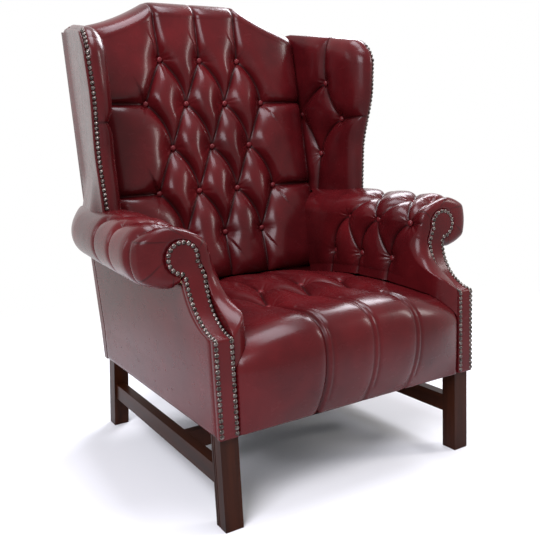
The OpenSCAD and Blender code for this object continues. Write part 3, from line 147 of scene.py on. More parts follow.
def post_outer(z):
    low = ARM_FLARE * unit((z - RAIL_TOP) / (ARM_HEIGHT - RAIL_TOP))
    high = mix(ARM_FLARE, TOP_FLARE, unit((z - ARM_HEIGHT) / (SHOULDER - ARM_HEIGHT)))
    return HALF_SPAN + np.where(z < ARM_HEIGHT, low, high)


def shell_outer(z):
    """Outer face of the leather that is stretched over the posts."""
    return post_outer(z) + GAP + SKIN


print("the posts lean back", round(float(post_back(SHOULDER)) - FRAME_DEPTH), "mm at the shoulder")

# %% [markdown]
# ## Folds
# Deep buttoning is a map of lines: pleats run from button to button, and the leather swells
# between them. A sculpted mesh would be hard to keep exact, so each piece gets its relief
# from a distance field. A pleat is a line in that map. It may bow, and one side may swell
# more steeply than the other, because one fold of leather lies over its neighbour.

# %% One pleat
FOLD_ROUND, FOLD_SPREAD = 1.3, 1.35


def pleat(start, end, deep=(1, 1), bow=0.0, steep=55.0, slack=55.0):
    """A fold between two points. steep is the reach on its left side, slack on its right."""
    return dict(a=np.array(start, float), b=np.array(end, float), deep=deep, bow=bow,
                steep=steep, slack=slack)


def fullness(gap, reach):
    """How full the leather is at a distance from a fold, with a small round at its bottom."""
    least = soft_edge(FOLD_ROUND / (FOLD_SPREAD * reach))
    full = soft_edge(np.hypot(gap, FOLD_ROUND) / (FOLD_SPREAD * reach))
    return (full - least) / (1 - least)


print("fullness 0, 20 and 60 mm from a fold:", fullness(np.array([0.0, 20, 60]), 55).round(2))

# %% [markdown]
# ## Relief of many pleats
# Where pleats meet, each takes away its own share of the height, so their valleys run together without a
# step. Beside a pleat the upper layer of leather ends in a thin lip. The sharpness of the nearest fold
# is handed on too, for the leather's colour, which is darkened along it as painted shade.

# %% Relief
CREASE_WIDE = 3.2
LIP_AT, LIP_WIDE, LIP_HIGH = 4.5, 2.4, 0.035


def relief(u, v, pleats):
    """(height left from 0 to 1, sharpness of the nearest fold) at every point."""
    keep = np.ones_like(u)
    fold = np.zeros_like(u)
    lip = np.zeros_like(u)
    for p in pleats:
        run = p["b"] - p["a"]
        length = np.hypot(*run)
        run = run / length
        du, dv = u - p["a"][0], v - p["a"][1]
        t_raw = (du * run[0] + dv * run[1]) / length
        t = unit(t_raw)
        side = -du * run[1] + dv * run[0] - p["bow"] * 4 * t * (1 - t)
        past = (t_raw - t) * length
        gap = np.hypot(side, past)
        reach = np.where(side > 0, p["steep"], p["slack"])
        deep = mix(p["deep"][0], p["deep"][1], t)
        keep = keep * (1 - deep * (1 - fullness(gap, reach)))
        # This fold mask later darkens the leather's colour as painted shade in the creases.
        fold = np.maximum(fold, np.sqrt(deep) * np.exp(-(gap / CREASE_WIDE) ** 2))
        lip = np.maximum(lip, deep * np.exp(-((side + LIP_AT) / LIP_WIDE) ** 2) * (np.abs(past) < 1))
    return keep + LIP_HIGH * lip, fold


demo_keep, _ = relief(np.zeros(3), np.array([0.0, 20, 60]), [pleat((-50, 0), (50, 0))])
print("height left 0, 20 and 60 mm from a fold:", demo_keep.round(2))

# %% [markdown]
# ## Gathers at the buttons
# A button pulls the leather into a small dimple, and short wrinkles run out from it like
# rays. They could be painted as bump. As geometry they also catch light at a glancing angle,
# and two waves of different count around each button keep the rays from looking stamped.

# %% Puckers
RAYS, RAY_HIGH, RAY_REACH = 9, 1.6, 21.0
RAY_START, RAY_FULL = 5, 9
DIMPLE_DEEP, DIMPLE_WIDE = 5, 11


def puckers(u, v, buttons):
    """Depth of the dimple at each button and of the gathered leather around it."""
    out = np.zeros_like(u)
    for k, (bu, bv) in enumerate(buttons):
        du, dv = u - bu, v - bv
        r = np.hypot(du, dv)
        angle = np.arctan2(dv, du)
        wave = np.cos(RAYS * angle + 1.7 * k) + 0.6 * np.cos((RAYS + 4) * angle + 2.9 * k)
        wave = wave * (0.6 + 0.4 * np.cos(angle + k))
        rays = RAY_HIGH * wave * unit((r - RAY_START) / RAY_FULL) * np.exp(-(r / RAY_REACH) ** 2)
        out += rays + DIMPLE_DEEP * np.exp(-(r / DIMPLE_WIDE) ** 2)
    return out


print("depth at a button:", puckers(np.zeros(1), np.zeros(1), [(0, 0)]).round(1)[0], "mm")

# %% [markdown]
# ## Grids and strips
# Each leather piece is a front grid with all its detail and a plain back grid, and strips
# close the sides between them. This is the way a lofted shell is made. It gives even quads
# that take smooth shading well, where a remeshed solid would blur the folds.

# %% Faces of grids and strips
def zip_strip(points, a, b):
    """Triangles between two rows of point numbers, along the shortest diagonals."""
    faces, i, j = [], 0, 0
    while i < len(a) - 1 or j < len(b) - 1:
        go = j >= len(b) - 1 or (i < len(a) - 1 and np.linalg.norm(points[a[i + 1]] - points[b[j]])
                                 <= np.linalg.norm(points[a[i]] - points[b[j + 1]]))
        if go:
            faces.append((a[i], a[i + 1], b[j]))
            i += 1
        else:
            faces.append((a[i], b[j + 1], b[j]))
            j += 1
    return faces


def grid_quads(cols, rows, base=0):
    """Quads of a grid whose points are numbered column by column."""
    i, j = np.meshgrid(np.arange(cols - 1), np.arange(rows - 1), indexing="ij")
    a = base + i * rows + j
    return np.stack([a, a + rows, a + rows + 1, a + 1], -1).reshape(-1, 4).tolist()


print("a grid of 4 by 3 points has", len(grid_quads(4, 3)), "quads")

# %% [markdown]
# ## From points to a piece
# The grids become one mesh object, smooth in front and flat at the sides. How deep a point lies in a
# fold is kept as an attribute, so that the leather's colour can be darkened along the folds as painted
# shade, without an image. Every face is turned outward at the end, whichever way its grid ran.

# %% Mesh builders
def new_object(name, data):
    obj = bpy.data.objects.new(name, data)
    scene.collection.objects.link(obj)
    return obj


def finish_mesh(name, points, smooth_faces, flat_faces, marks=None):
    mesh = bpy.data.meshes.new(name)
    mesh.from_pydata(to_frame(points).tolist(), [], smooth_faces + flat_faces)
    mesh.polygons.foreach_set("use_smooth", [True] * len(smooth_faces) + [False] * len(flat_faces))
    # The fold attribute carries the painted shade of the creases to the material.
    fold = mesh.attributes.new("fold", "FLOAT", "POINT")
    fold.data.foreach_set("value", np.zeros(len(points)) if marks is None else marks)
    turned = bmesh.new()
    turned.from_mesh(mesh)
    bmesh.ops.recalc_face_normals(turned, faces=turned.faces)
    turned.to_mesh(mesh)
    turned.free()
    return new_object(name, mesh)


def closed_form(name, front, back, fold=None):
    """A solid between a fine front grid and a back grid that share their columns."""
    cols, rows = front.shape[:2]
    back_rows = back.shape[1]
    points = np.concatenate([front.reshape(-1, 3), back.reshape(-1, 3)])
    base = cols * rows
    sides = grid_quads(cols, back_rows, base)
    for i in range(cols - 1):
        for a, b in ((0, 0), (rows - 1, back_rows - 1)):
            sides.append((i * rows + a, (i + 1) * rows + a, base + (i + 1) * back_rows + b,
                          base + i * back_rows + b))
    for i in (0, cols - 1):
        sides += zip_strip(points, range(i * rows, (i + 1) * rows),
                           range(base + i * back_rows, base + (i + 1) * back_rows))
    marks = np.zeros(len(points))
    if fold is not None:
        marks[:base] = fold.ravel()
    return finish_mesh(name, points, grid_quads(cols, rows), sides, marks)


print("pieces are built by", closed_form.__name__, "and closed by", zip_strip.__name__)

# %% [markdown]
# ## Pairs and covers
# Arms, wings and facings come in pairs. The left-hand one could be modelled again, but the
# workshop cuts both from one pattern, and so a mirrored copy is right. Each finished cover
# rides on the frame, stands for its plain solid there and names the finish that it takes.

# %% Covers
def mirrored(obj, name):
    """The left-hand twin of a right-hand piece."""
    mesh = obj.data.copy()
    mesh.transform(Matrix.Scale(-1, 4, (1, 0, 0)))
    mesh.flip_normals()
    return new_object(name, mesh)


def upholster(obj, slot, replaced):
    """Rides on the frame, stands for its CAD node and names its material slot."""
    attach(obj, "root")
    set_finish(obj, slot)
    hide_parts(replaced)
    print(obj.name, len(obj.data.vertices), "points", [round(c * 1000) for c in obj.dimensions])


def leather_pair(name, replaced, front, back, fold=None):
    """A right-hand cover and its twin, over the nodes of the same two sides."""
    right = closed_form(name + "_right", front, back, fold)
    left = mirrored(right, name + "_left")
    upholster(right, "leather", replaced + "_right")
    upholster(left, "leather", replaced + "_left")


print("nodes that come in pairs:", len([n for n in nodes if n.endswith("_right")]))

# %% [markdown]
# ## The line of the seat
# The seat is highest a little in front of its middle and falls towards its edges. The back
# and the arms stand on it, so its line is settled before them. It is a formula and not a
# measured mesh, because each of the three pieces asks for its height at other places.

# %% Top of the seat
SEAT_HALF = FACING_IN - 3 * GAP
SEAT_HIGH, SEAT_PEAK = 426.0, 290.0
FRONT_FALL, FRONT_RUN = 12.0, 230.0
REAR_FALL, REAR_RUN = 34.0, 285.0
SIDE_FALL = 44.0


def seat_crown(y):
    y = np.asarray(y, float)
    front = FRONT_FALL * ((SEAT_PEAK - y) / FRONT_RUN) ** 2
    rear = REAR_FALL * ((y - SEAT_PEAK) / REAR_RUN) ** 2
    return SEAT_HIGH - np.where(y < SEAT_PEAK, front, rear)


def seat_top(x, y):
    return seat_crown(y) - SIDE_FALL * (np.abs(x) / SEAT_HALF) ** 3


print("seat height in front and behind:", [round(float(seat_top(0, y))) for y in (60, 548)], "mm")

# %% [markdown]
# ## The outline of the back
# The back is one sheet of leather over a thick pad that leans backwards. Its top is level in
# the middle and falls in a hollow curve to the shoulders. The buttons all lie in one leaning
# plane, as they do when the strings behind them are tied to one length.

# %% Back outline
BACK_LEAN = math.radians(11.3)
BUTTON_DEPTH, BUTTON_LEVEL = 590, 607
BACK_FOOT, LOW_HALF, HIGH_HALF = 402, 301, 317
CREST_HALF, CREST_FALL, CREST_HOLLOW = 123, 198, 1.6


def button_plane(z):
    return BUTTON_DEPTH + (z - BUTTON_LEVEL) * math.tan(BACK_LEAN)


def back_half(z):
    return mix(LOW_HALF, HIGH_HALF, unit((z - BACK_FOOT) / (SHOULDER - BACK_FOOT)))


def crest_z(x):
    fall = unit((np.abs(x) - CREST_HALF) / CREST_FALL)
    return np.where(np.abs(x) < CREST_HALF, CREST,
                    SHOULDER + (CREST - SHOULDER) * (1 - fall) ** CREST_HOLLOW)


print("crest in the middle and at its ends:", crest_z(np.array([0, CREST_HALF + CREST_FALL])), "mm")

# %% [markdown]
# ## Buttons and pleats of the back
# Seventeen buttons in five staggered rows make the diamonds. On the real chair the folds that
# fall to the right lie over those that fall to the left, so the first kind is steeper on one
# side. From the top row pleats run over the crest, and from the bottom row into the seat.
# The rows are worked out by counting, because their spacing is the same everywhere.

# %% Back pleats
BUTTON_PITCH, ROW_RISE, LOW_ROW, ROWS = 118.0, 118.0, 521.0, 5
OVER_FOLD = dict(bow=15, steep=38, slack=84)
UNDER_FOLD = dict(deep=(0.82, 0.82), bow=-4, steep=56, slack=50)
SEAT_LINE, POST_LINE = 300, 330


def row_height(row):
    return LOW_ROW + (ROWS - row) * ROW_RISE


def row_slots(row):
    """Places of a row's buttons, in half pitches from the middle."""
    return (-2, 0, 2) if row % 2 else (-3, -1, 1, 3)


def back_button(slot, row):
    return slot * BUTTON_PITCH / 2, row_height(row)


back_spots = [back_button(k, row) for row in range(1, ROWS + 1) for k in row_slots(row)]
back_pleats = []
for row in range(1, ROWS):
    for k in row_slots(row):
        for m in row_slots(row + 1):
            if abs(k - m) == 1:
                lie = OVER_FOLD if m > k else UNDER_FOLD
                back_pleats.append(pleat(back_button(k, row), back_button(m, row + 1), **lie))
for k in row_slots(1):
    x, z = back_button(k, 1)
    over = x + (k - 0.5) * 3
    back_pleats.append(pleat((x, z), (over, CREST + 20), (0.78, 0.0), 6, 46, 64))
    back_pleats.append(pleat((x, z), (over, CREST + 80), (0.4, 0.26), 6, 7, 17))
for k in row_slots(ROWS):
    x, z = back_button(k, ROWS)
    back_pleats.append(pleat((x, z), (x, SEAT_LINE), (1, 0.7), 0, 50, 50))
for row in (2, 4):
    for side in (-1, 1):
        z = row_height(row)
        ends = (side * 1.5 * BUTTON_PITCH, z), (side * POST_LINE, z)
        back_pleats.append(pleat(*ends, (0.8, 0.2), 0, 34, 34))
        back_pleats.append(pleat(*ends, (0.3, 0.3), 0, 12, 12))
print("back buttons:", len(back_spots), "pleats:", len(back_pleats))

# %% [markdown]
# ## The front of the back
# The pad swells forward from the plane of the buttons and sinks to its edges, and every fold
# takes some of that crown away. The grid follows the outline, so that its rows end on the
# seat and on the crest and its columns on the two posts, and no trimming is needed.

# %% Face of the back
BACK_SET, BACK_CROWN, BACK_TUFT = 12, 42, 21.6
EDGE_WIDE, LOW_EDGE, LOW_WIDE = 95, 396, 60
BACK_COLS, BACK_ROWS, CREST_ROWS = 261, 318, 52
CREST_DROP, BACK_MEET = 50.0, 548


def back_surface(x, z, keep):
    low_edge = puff((z - LOW_EDGE) / LOW_WIDE)
    edge = soft_edge((back_half(z) - np.abs(x)) / EDGE_WIDE)
    crown = BACK_CROWN * edge * low_edge * mix(0.72, 1.06, keep)
    return button_plane(z) + BACK_SET - crown + BACK_TUFT * (1 - keep) * low_edge


across = np.linspace(-1, 1, BACK_COLS)[:, None]
upward = np.linspace(0, 1, BACK_ROWS)[None, :]
x_mean = across * (LOW_HALF + HIGH_HALF) / 2 + 0 * upward
foot = seat_top(np.minimum(np.abs(x_mean), SEAT_HALF), BACK_MEET) + 3
start_z = crest_z(x_mean) - CREST_DROP
z = mix(foot, start_z, upward)
x = across * back_half(z)
keep, fold = relief(x, z, back_pleats)
face = np.stack([x, back_surface(x, z, keep) + puckers(x, z, back_spots), z], -1)
print("face of the back:", face.shape[0], "by", face.shape[1], "points")

# %% [markdown]
# ## Over the crest rail
# At the top the leather turns over the rail and is tacked behind it. Each column follows an
# arc from the face to the rear of the rail. The pleats go on over the arc, because the real
# ones do, and the arc sinks a little where a pleat runs. A plain grid against the posts and
# the rail closes the cover from behind.

# %% Back cover
CREST_TURN = math.radians(110)
TACK_DROP, RAIL_DROP, CREST_SINK = 22, 20, 9
turn = np.linspace(0, 1, CREST_ROWS + 1)[None, 1:]
x_top = x[:, -1:] + 0 * turn
z_start = start_z[:, -1:] + 0 * turn
keep_top, fold_top = relief(x_top, z_start + turn * 2 * CREST_DROP, back_pleats)
start_y = back_surface(x_top, z_start, keep_top)
deep = (post_back(crest_z(x_top) - TACK_DROP) - start_y) / (1 - math.cos(CREST_TURN))
arc_y = start_y + deep * (1 - np.cos(CREST_TURN * turn))
arc_z = z_start + (CREST_DROP - CREST_SINK * (1 - keep_top)) * np.sin(CREST_TURN * turn)
front = np.concatenate([face, np.stack([x_top, arc_y, arc_z], -1)], 1)
rail = crest_z(x_top[:, 0]) - RAIL_DROP
lift = (POST_DEPTH + GAP) * math.sin(RAKE_ANGLE)
inward = (POST_DEPTH + GAP) * math.cos(RAKE_ANGLE)
low_x, low_z, top_x = front[:, 0, 0], front[:, 0, 2], x_top[:, 0]
back = np.stack([np.stack([low_x, post_front(low_z) - GAP, low_z], -1),
                 np.stack([top_x, post_back(rail) - inward, rail + lift], -1),
                 np.stack([top_x, post_back(rail), rail], -1)], 1)
back_cover = closed_form("tufted_back", front, back, np.concatenate([fold, fold_top], 1))
upholster(back_cover, "leather", "back_cover")

# %% [markdown]
# ## Buttons and pleats of the seat
# A front row of three buttons and a rear row of four hold the sprung pad. Pleats join them
# in a zigzag, run from the rear row to the back, and from the front row over the edge, where
# they thin out to fine creases. They are laid in a flat map: across the seat, and along the
# leather from the back to the hem.

# %% Seat pleats
seat_front_spots = [(k * BUTTON_PITCH, 155.0) for k in (-1, 0, 1)]
seat_rear_spots = [(k * BUTTON_PITCH, SEAT_PEAK) for k in (-1.5, -0.5, 0.5, 1.5)]
seat_spots = seat_front_spots + seat_rear_spots
seat_pleats = []
for a in seat_front_spots:
    for b in seat_rear_spots:
        if abs(a[0] - b[0]) < BUTTON_PITCH:
            seat_pleats.append(pleat(b, a, (1, 1), 12 if a[0] > b[0] else -4, 48, 66))
for a in seat_front_spots:
    line = 0.34 if a[0] < 0 else 0.13
    seat_pleats.append(pleat(a, (a[0] + 3, 40), (0.9, 0.0), 6, 44, 60))
    seat_pleats.append(pleat(a, (a[0] + 8, -225), (line, line * 0.8), 10, 9, 26))
    seat_pleats.append(pleat((a[0] + 17, 70), (a[0] + 24, -190), (0.10, 0.06), 6, 9, 9))
for b in seat_rear_spots:
    seat_pleats.append(pleat(b, (b[0], 600), (1, 0.6), 0, 50, 50))
for side in (-1, 1):
    ends = (side * 1.5 * BUTTON_PITCH, SEAT_PEAK), (side * 300, SEAT_PEAK + 12)
    seat_pleats.append(pleat(*ends, (1, 0.5), 0, 40, 40))
print("seat buttons:", len(seat_spots), "pleats:", len(seat_pleats))

# %% [markdown]
# ## The seat cover
# The leather lies on the pad, rolls over the front edge and falls to the legs with a slight
# swell. One grid follows it the whole way: the first part is level, the second turns on a
# squared-off quarter circle, the third hangs down. A cloth simulation would have to find the
# same tight pleats by chance, so the relief is laid on directly.

# %% Seat cover
NOSE_START, NOSE_END, HEM_END = 60.0, -97.0, -225.0
NOSE_Z, NOSE_SWELL, NOSE_BOX = 320.0, 38.0, 0.74
SEAT_REAR, UNDERSIDE, SEAT_COLS = 575.0, 336.0, 265
SEAT_TUFT, SEAT_ROUND, ROUND_WIDE = 25, 9, 16


def nose_out(x):
    return NOSE_SWELL * (1 - (np.abs(x) / SEAT_HALF) ** 4)


along = np.concatenate([np.linspace(SEAT_REAR, NOSE_START, 230)[:-1],
                        np.linspace(NOSE_START, NOSE_END, 76)[:-1],
                        np.linspace(NOSE_END, HEM_END, 56)])
x = np.linspace(-SEAT_HALF, SEAT_HALF, SEAT_COLS)[None, :] + 0 * along[:, None]
a = along[:, None] + 0 * x
level, rolling = a > NOSE_START, a > NOSE_END
keep, fold = relief(x, a, seat_pleats)
deep = SEAT_TUFT * (1 - keep) + puckers(x, a, seat_spots)
edge_round = SEAT_ROUND * (1 - puff((SEAT_HALF - np.abs(x)) / ROUND_WIDE))
turn = np.pi / 2 + np.pi / 2 * unit((NOSE_START - a) / (NOSE_START - NOSE_END))
down = unit((NOSE_END - a) / (NOSE_END - HEM_END))
boxy = mix(NOSE_BOX, 1, (np.abs(x) / SEAT_HALF) ** 3)
roll_deep = NOSE_START - FRONT_FACE + nose_out(x) - deep
roll_high = seat_top(x, NOSE_START) - NOSE_Z - deep
roll_y = NOSE_START - roll_deep * np.abs(np.cos(turn)) ** boxy
roll_z = NOSE_Z + roll_high * np.abs(np.sin(turn)) ** boxy
low_y = FRONT_FACE - nose_out(x) * (1 - down * down) + deep
y = np.where(level, a, np.where(rolling, roll_y, low_y) + edge_round)
z = np.where(level, seat_top(x, a) - deep - edge_round,
             np.where(rolling, roll_z, mix(NOSE_Z, LEG_SHOW, down)))
inner_y = np.where(along > NOSE_START, along, -GAP)
inner_z = mix(UNDERSIDE, LEG_SHOW, unit((NOSE_START - along) / (NOSE_START - HEM_END)))
lining = np.stack([np.stack([np.full_like(along, edge), inner_y, inner_z], -1)
                   for edge in (-SEAT_HALF, SEAT_HALF)], 1)
seat_cover = closed_form("tufted_seat", np.stack([x, y, z], -1), lining, fold)
upholster(seat_cover, "leather", "seat_cover")

# %% [markdown]
# ## The outline of the arm facings
# A facing is a narrow board covered in leather. It stands upright over the front leg, sweeps
# back from a corner, and ends in a scroll. Its two edges are written as functions of the
# height, because the nails, the arm and the outside panel all have to follow them.

# %% Facing outline
CORNER_Z, NECK_Z, NOTCH_Z = 394.0, 510.0, 500.0
SETBACK, CORNER = 98.0, 0.1636
SCROLL_X, SCROLL_Z, SCROLL_R = 343.0, 541.0, 36.0
NECK_ANGLE, NOTCH_SPREAD, NOTCH_FADE = math.radians(10), 7.5, 41
SWEEP_DEPTH = SETBACK / (1 - CORNER)
SWEEP_HEIGHT = (NECK_Z - CORNER_Z) / math.sqrt(1 - CORNER ** 2)
NECK_CLOSE = SCROLL_Z - SCROLL_R * math.sin(NECK_ANGLE)


def facing_y(z):
    below = np.maximum(0, NECK_Z - z) / SWEEP_HEIGHT
    bend = np.sqrt(np.maximum(0, 1 - below ** 2)) - CORNER
    return np.where(z <= CORNER_Z, FRONT_FACE, FRONT_FACE + SWEEP_DEPTH * bend)


def facing_outer(z):
    return FACING_OUT + NOTCH_SPREAD * unit((z - CORNER_Z) / (NOTCH_Z - CORNER_Z))


def facing_inner(z):
    lean = unit((z - NOTCH_Z) / (NECK_CLOSE - NOTCH_Z))
    return mix(FACING_IN, SCROLL_X - SCROLL_R * math.cos(NECK_ANGLE), lean)


def facing_sides(z):
    arc = np.sqrt(np.maximum(0, SCROLL_R ** 2 - (z - SCROLL_Z) ** 2))
    left = np.where(z < NECK_CLOSE, facing_inner(z), SCROLL_X - arc)
    closing = mix(facing_outer(NOTCH_Z), SCROLL_X, unit((z - NOTCH_Z) / NOTCH_FADE))
    neck = np.where(z < SCROLL_Z, closing, SCROLL_X)
    return left, np.where(z < NOTCH_Z, facing_outer(z), np.maximum(neck, SCROLL_X + arc))


print("the facing sweeps back", round(float(facing_y(NECK_Z)) - FRONT_FACE), "mm")

# %% [markdown]
# ## The arm facings
# The board could be cut from a flat outline and bent afterwards. Here it is built as level
# slices between its left and right edge, already bent to the sweep. The slices stay even
# around the scroll, and a small round along the edges keeps them soft.

# %% Arm facings
FACING_THICK, EDGE_SOFT, FACING_SWELL, SWELL_WIDE = 11, 4, 1.2, 18
angles = np.radians(np.linspace(-88, 90, 60))
z = np.concatenate([np.linspace(LEG_SHOW, CORNER_Z, 60), np.linspace(CORNER_Z, 504.9, 60)[1:],
                    SCROLL_Z + SCROLL_R * np.sin(angles)])[:, None]
u = (1 - np.cos(np.linspace(0, np.pi, 25)))[None, :] / 2
left, right = facing_sides(z)
x = mix(left, right, u)
inside = np.minimum(x - left, right - x)
edge = np.minimum(inside, SCROLL_Z + SCROLL_R - z)
y = facing_y(z) + EDGE_SOFT * (1 - puff(edge / EDGE_SOFT)) - FACING_SWELL * puff(inside / SWELL_WIDE)
rear_y = facing_y(z[:, 0]) + FACING_THICK
back = np.stack([np.stack([side[:, 0], rear_y, z[:, 0]], -1) for side in (left, right)], 1)
leather_pair("scroll_facing", "arm_facing", np.stack([x, y, z + 0 * u], -1), back)

# %% [markdown]
# ## The section of an arm
# Each arm starts as a wall beside the seat and rolls outward over a rail. Cut across, it is a
# straight line that meets half an ellipse and half a circle, and it gets smaller towards the
# rear. One number follows the leather over this section: from 0 to 1 it climbs the wall, from
# 1 to 2 it goes over the roll. A swept curve would do the same, but couldn't change its shape.

# %% Arm section
ARM_IN, FOOT_X = 264.0, 250.0
ROLL_FRONT, ROLL_REAR = 117.0, 690.0
FRONT_ROLL, REAR_ROLL = (378, 543, 64), (352, 556, 58)
FRONT_TURN, REAR_TURN = -125, -86
TUCK, TUCK_START, TUCK_RUN = 30, 560, 130


def roll_share(y):
    return unit((y - ROLL_FRONT) / (ROLL_REAR - ROLL_FRONT))


def roll_circle(y):
    """x and z of the roll's middle, and its radius, at a depth."""
    return [mix(front, rear, roll_share(y)) for front, rear in zip(FRONT_ROLL, REAR_ROLL)]


def seat_side_z(x, y):
    """Height of the seat beside the arm, also where it rolls over its front edge."""
    ahead = np.maximum(0, NOSE_START - y) / (NOSE_START - FRONT_FACE + nose_out(x))
    rise = np.sqrt(1 - np.minimum(1, ahead) ** 2)
    nose = NOSE_Z + (seat_top(x, NOSE_START) - NOSE_Z) * rise
    return np.where(y >= NOSE_START, seat_top(x, y), nose)


def arm_section(q, y, inset):
    """x and z of the arm's surface, less an inset, and the angle around the roll."""
    cx, cz, size = roll_circle(y)
    foot_z = seat_side_z(FOOT_X, y) + 2
    wide = (cx - ARM_IN) / size
    dx, dz = (FOOT_X - cx) / wide, foot_z - cz
    touch = 2 * np.pi + np.arctan2(dz, dx) - np.arccos(size / np.hypot(dx, dz))
    a = mix(touch, np.radians(mix(FRONT_TURN, REAR_TURN, roll_share(y))), np.maximum(q, 1) - 1)
    stretch = np.where(a > np.pi / 2, wide, 1)
    nx, nz = np.cos(a) / stretch, np.sin(a)
    n = np.hypot(nx, nz)
    nx, nz = nx / n, nz / n
    tuck = TUCK * unit((y - TUCK_START) / TUCK_RUN) ** 2 * np.maximum(0, nx)
    sx, sz = cx + size * stretch * np.cos(a), cz + size * np.sin(a)
    w = np.minimum(q, 1)
    return mix(FOOT_X, sx, w) - inset * nx - tuck, mix(foot_z, sz, w) - inset * nz, a


sample_q = np.linspace(0, 2, 401)
sx, sz, _ = arm_section(sample_q, 200.0, 0)
sample_run = np.concatenate([[0], np.cumsum(np.hypot(np.diff(sx), np.diff(sz)))])


def run_at(q):
    """Length of leather from the seat to a place on the section."""
    return np.interp(q, sample_q, sample_run)


print("girth of an arm from the seat to the end of its roll:", round(sample_run[-1]), "mm")

# %% [markdown]
# ## The rim at the facing
# At the front the arm's leather is drawn in to the edge of the facing, which makes the fat
# rounded end. The rim is the facing's own outline, followed by the same number as the arm's
# section, so that each point of the section has its place on the rim to go to.

# %% Rim of the facing
RIM_DEPTH, RIM_INSET, RIM_BEHIND = 42.0, 2.0, -9.0
RING_FROM, RING_TO = 190, -75


def ring_angle(q):
    return mix(RING_FROM, RING_TO, q - 1)


def ring(q, radius, x):
    a = np.radians(ring_angle(q))
    return x + radius * np.cos(a), SCROLL_Z + radius * np.sin(a)


def rim_z(q, y):
    return mix(seat_side_z(FACING_IN, y) + 2, NECK_CLOSE, np.minimum(q, 1))


def rim_at(q, y):
    rx, rz = ring(q, SCROLL_R + GAP, SCROLL_X)
    return np.where(q < 1, facing_inner(rim_z(q, y)) - GAP, rx), np.where(q < 1, rim_z(q, y), rz)


def rim_y(q, depth):
    return facing_y(np.where(q < 1, rim_z(q, RIM_BEHIND + depth), SCROLL_Z)) + RIM_INSET + depth


print("depth of the rim at its start and end:", [round(float(rim_y(q, 0)), 1) for q in (0.0, 2.0)], "mm")

# %% [markdown]
# ## Buttons and pleats of the arms
# Three rows of buttons hold the arm: one low on the wall, one where the wall turns into the
# roll, and one on top. From the top row, pleats run over the roll and around its underside.
# The map is depth against length of leather, so that a diamond keeps its size on the curve.

# %% Arm pleats
ARM_PITCH, ARM_FIRST = 117.0, 134.0
LOW_SHARE, TOP_SHARE, OVER_SHARE = 0.38, 0.245, 0.42
low_run, high_run, end_run = run_at(LOW_SHARE), run_at(1.0), sample_run[-1]
top_run, over_run = run_at(1 + TOP_SHARE), run_at(1 + OVER_SHARE)
arm_low = [(ARM_FIRST + (k + 0.5) * ARM_PITCH, low_run) for k in range(3)]
arm_high = [(ARM_FIRST + k * ARM_PITCH, high_run) for k in range(3)]
arm_top = [(max(ARM_FIRST, ARM_FIRST + (k - 0.5) * ARM_PITCH), top_run) for k in range(3)]
arm_pleats = [pleat(arm_high[0], (96, high_run + 8), (0.9, 0.2), 6, 30, 40)]
for low, high, top in zip(arm_low, arm_high, arm_top):
    over = (high[0], over_run)
    arm_pleats += [pleat(high, low, (1, 1), 17, 44, 76),
                   pleat(top, high, (1, 1), -8, 60, 44),
                   pleat(low, (low[0] + 6, -20), (0.9, 0.5), 5, 34, 52),
                   pleat(top, over, (0.8, 0.5), 4, 34, 26),
                   pleat(over, (over[0] + 10, end_run + 20), (0.5, 0.5), 3, 8, 24)]
for k in range(2):
    arm_pleats += [pleat(arm_low[k], arm_high[k + 1], (0.72, 0.72), -5, 50, 50),
                   pleat(arm_high[k], arm_top[k + 1], (0.9, 0.9), 4, 54, 54)]
arm_spots = arm_low + arm_high + arm_top
print("buttons on an arm:", len(arm_spots), "pleats:", len(arm_pleats))

# %% [markdown]
# ## The grid of an arm
# The grid runs from the rim at the facing to the back. Its rear end follows what is there:
# the back cover on the wall, the wing above it, and the post outside. The front part turns
# on a squared-off quarter circle from the rim to the full section, and the rest is even.

# %% Arm grid
INTO_BACK, UNDER_WING, PAST_POST = 14, 655, 686
RIM_SQUARE, REAR_SECTION = 0.52, 560.0
q = np.concatenate([np.linspace(0, 1, 84)[:-1], np.linspace(1, 2, 190)])[:, None]
rim_t = np.linspace(0, 1, 32)[None, :]
body_t = np.linspace(0, 1, 250)[None, 1:]
end_z = arm_section(q, REAR_SECTION, 0)[1]
end_a = np.degrees(arm_section(q, ROLL_REAR, 0)[2])
inner_end = mix(button_plane(end_z) - INTO_BACK, UNDER_WING, unit((125 - end_a) / 20))
outer_end = mix(UNDER_WING, PAST_POST, ease((92 - end_a) / 24))
end_y = np.where(end_a > 92, inner_end, outer_end)
square = mix(1.0, RIM_SQUARE, unit((q - 0.8) / 0.4))
quarter = 1 - np.cos(rim_t * np.pi / 2) ** square
y = np.concatenate([rim_y(q, 0) + RIM_DEPTH * quarter,
                    mix(rim_y(q, 0) + RIM_DEPTH, end_y, body_t)], 1)
rim_share = np.concatenate([rim_t + 0 * q, 1 + 0 * body_t + 0 * q], 1)
rim = np.sin(rim_share * np.pi / 2) ** square
qq = q + 0 * y
print("arm grid:", y.shape[0], "by", y.shape[1], "points")
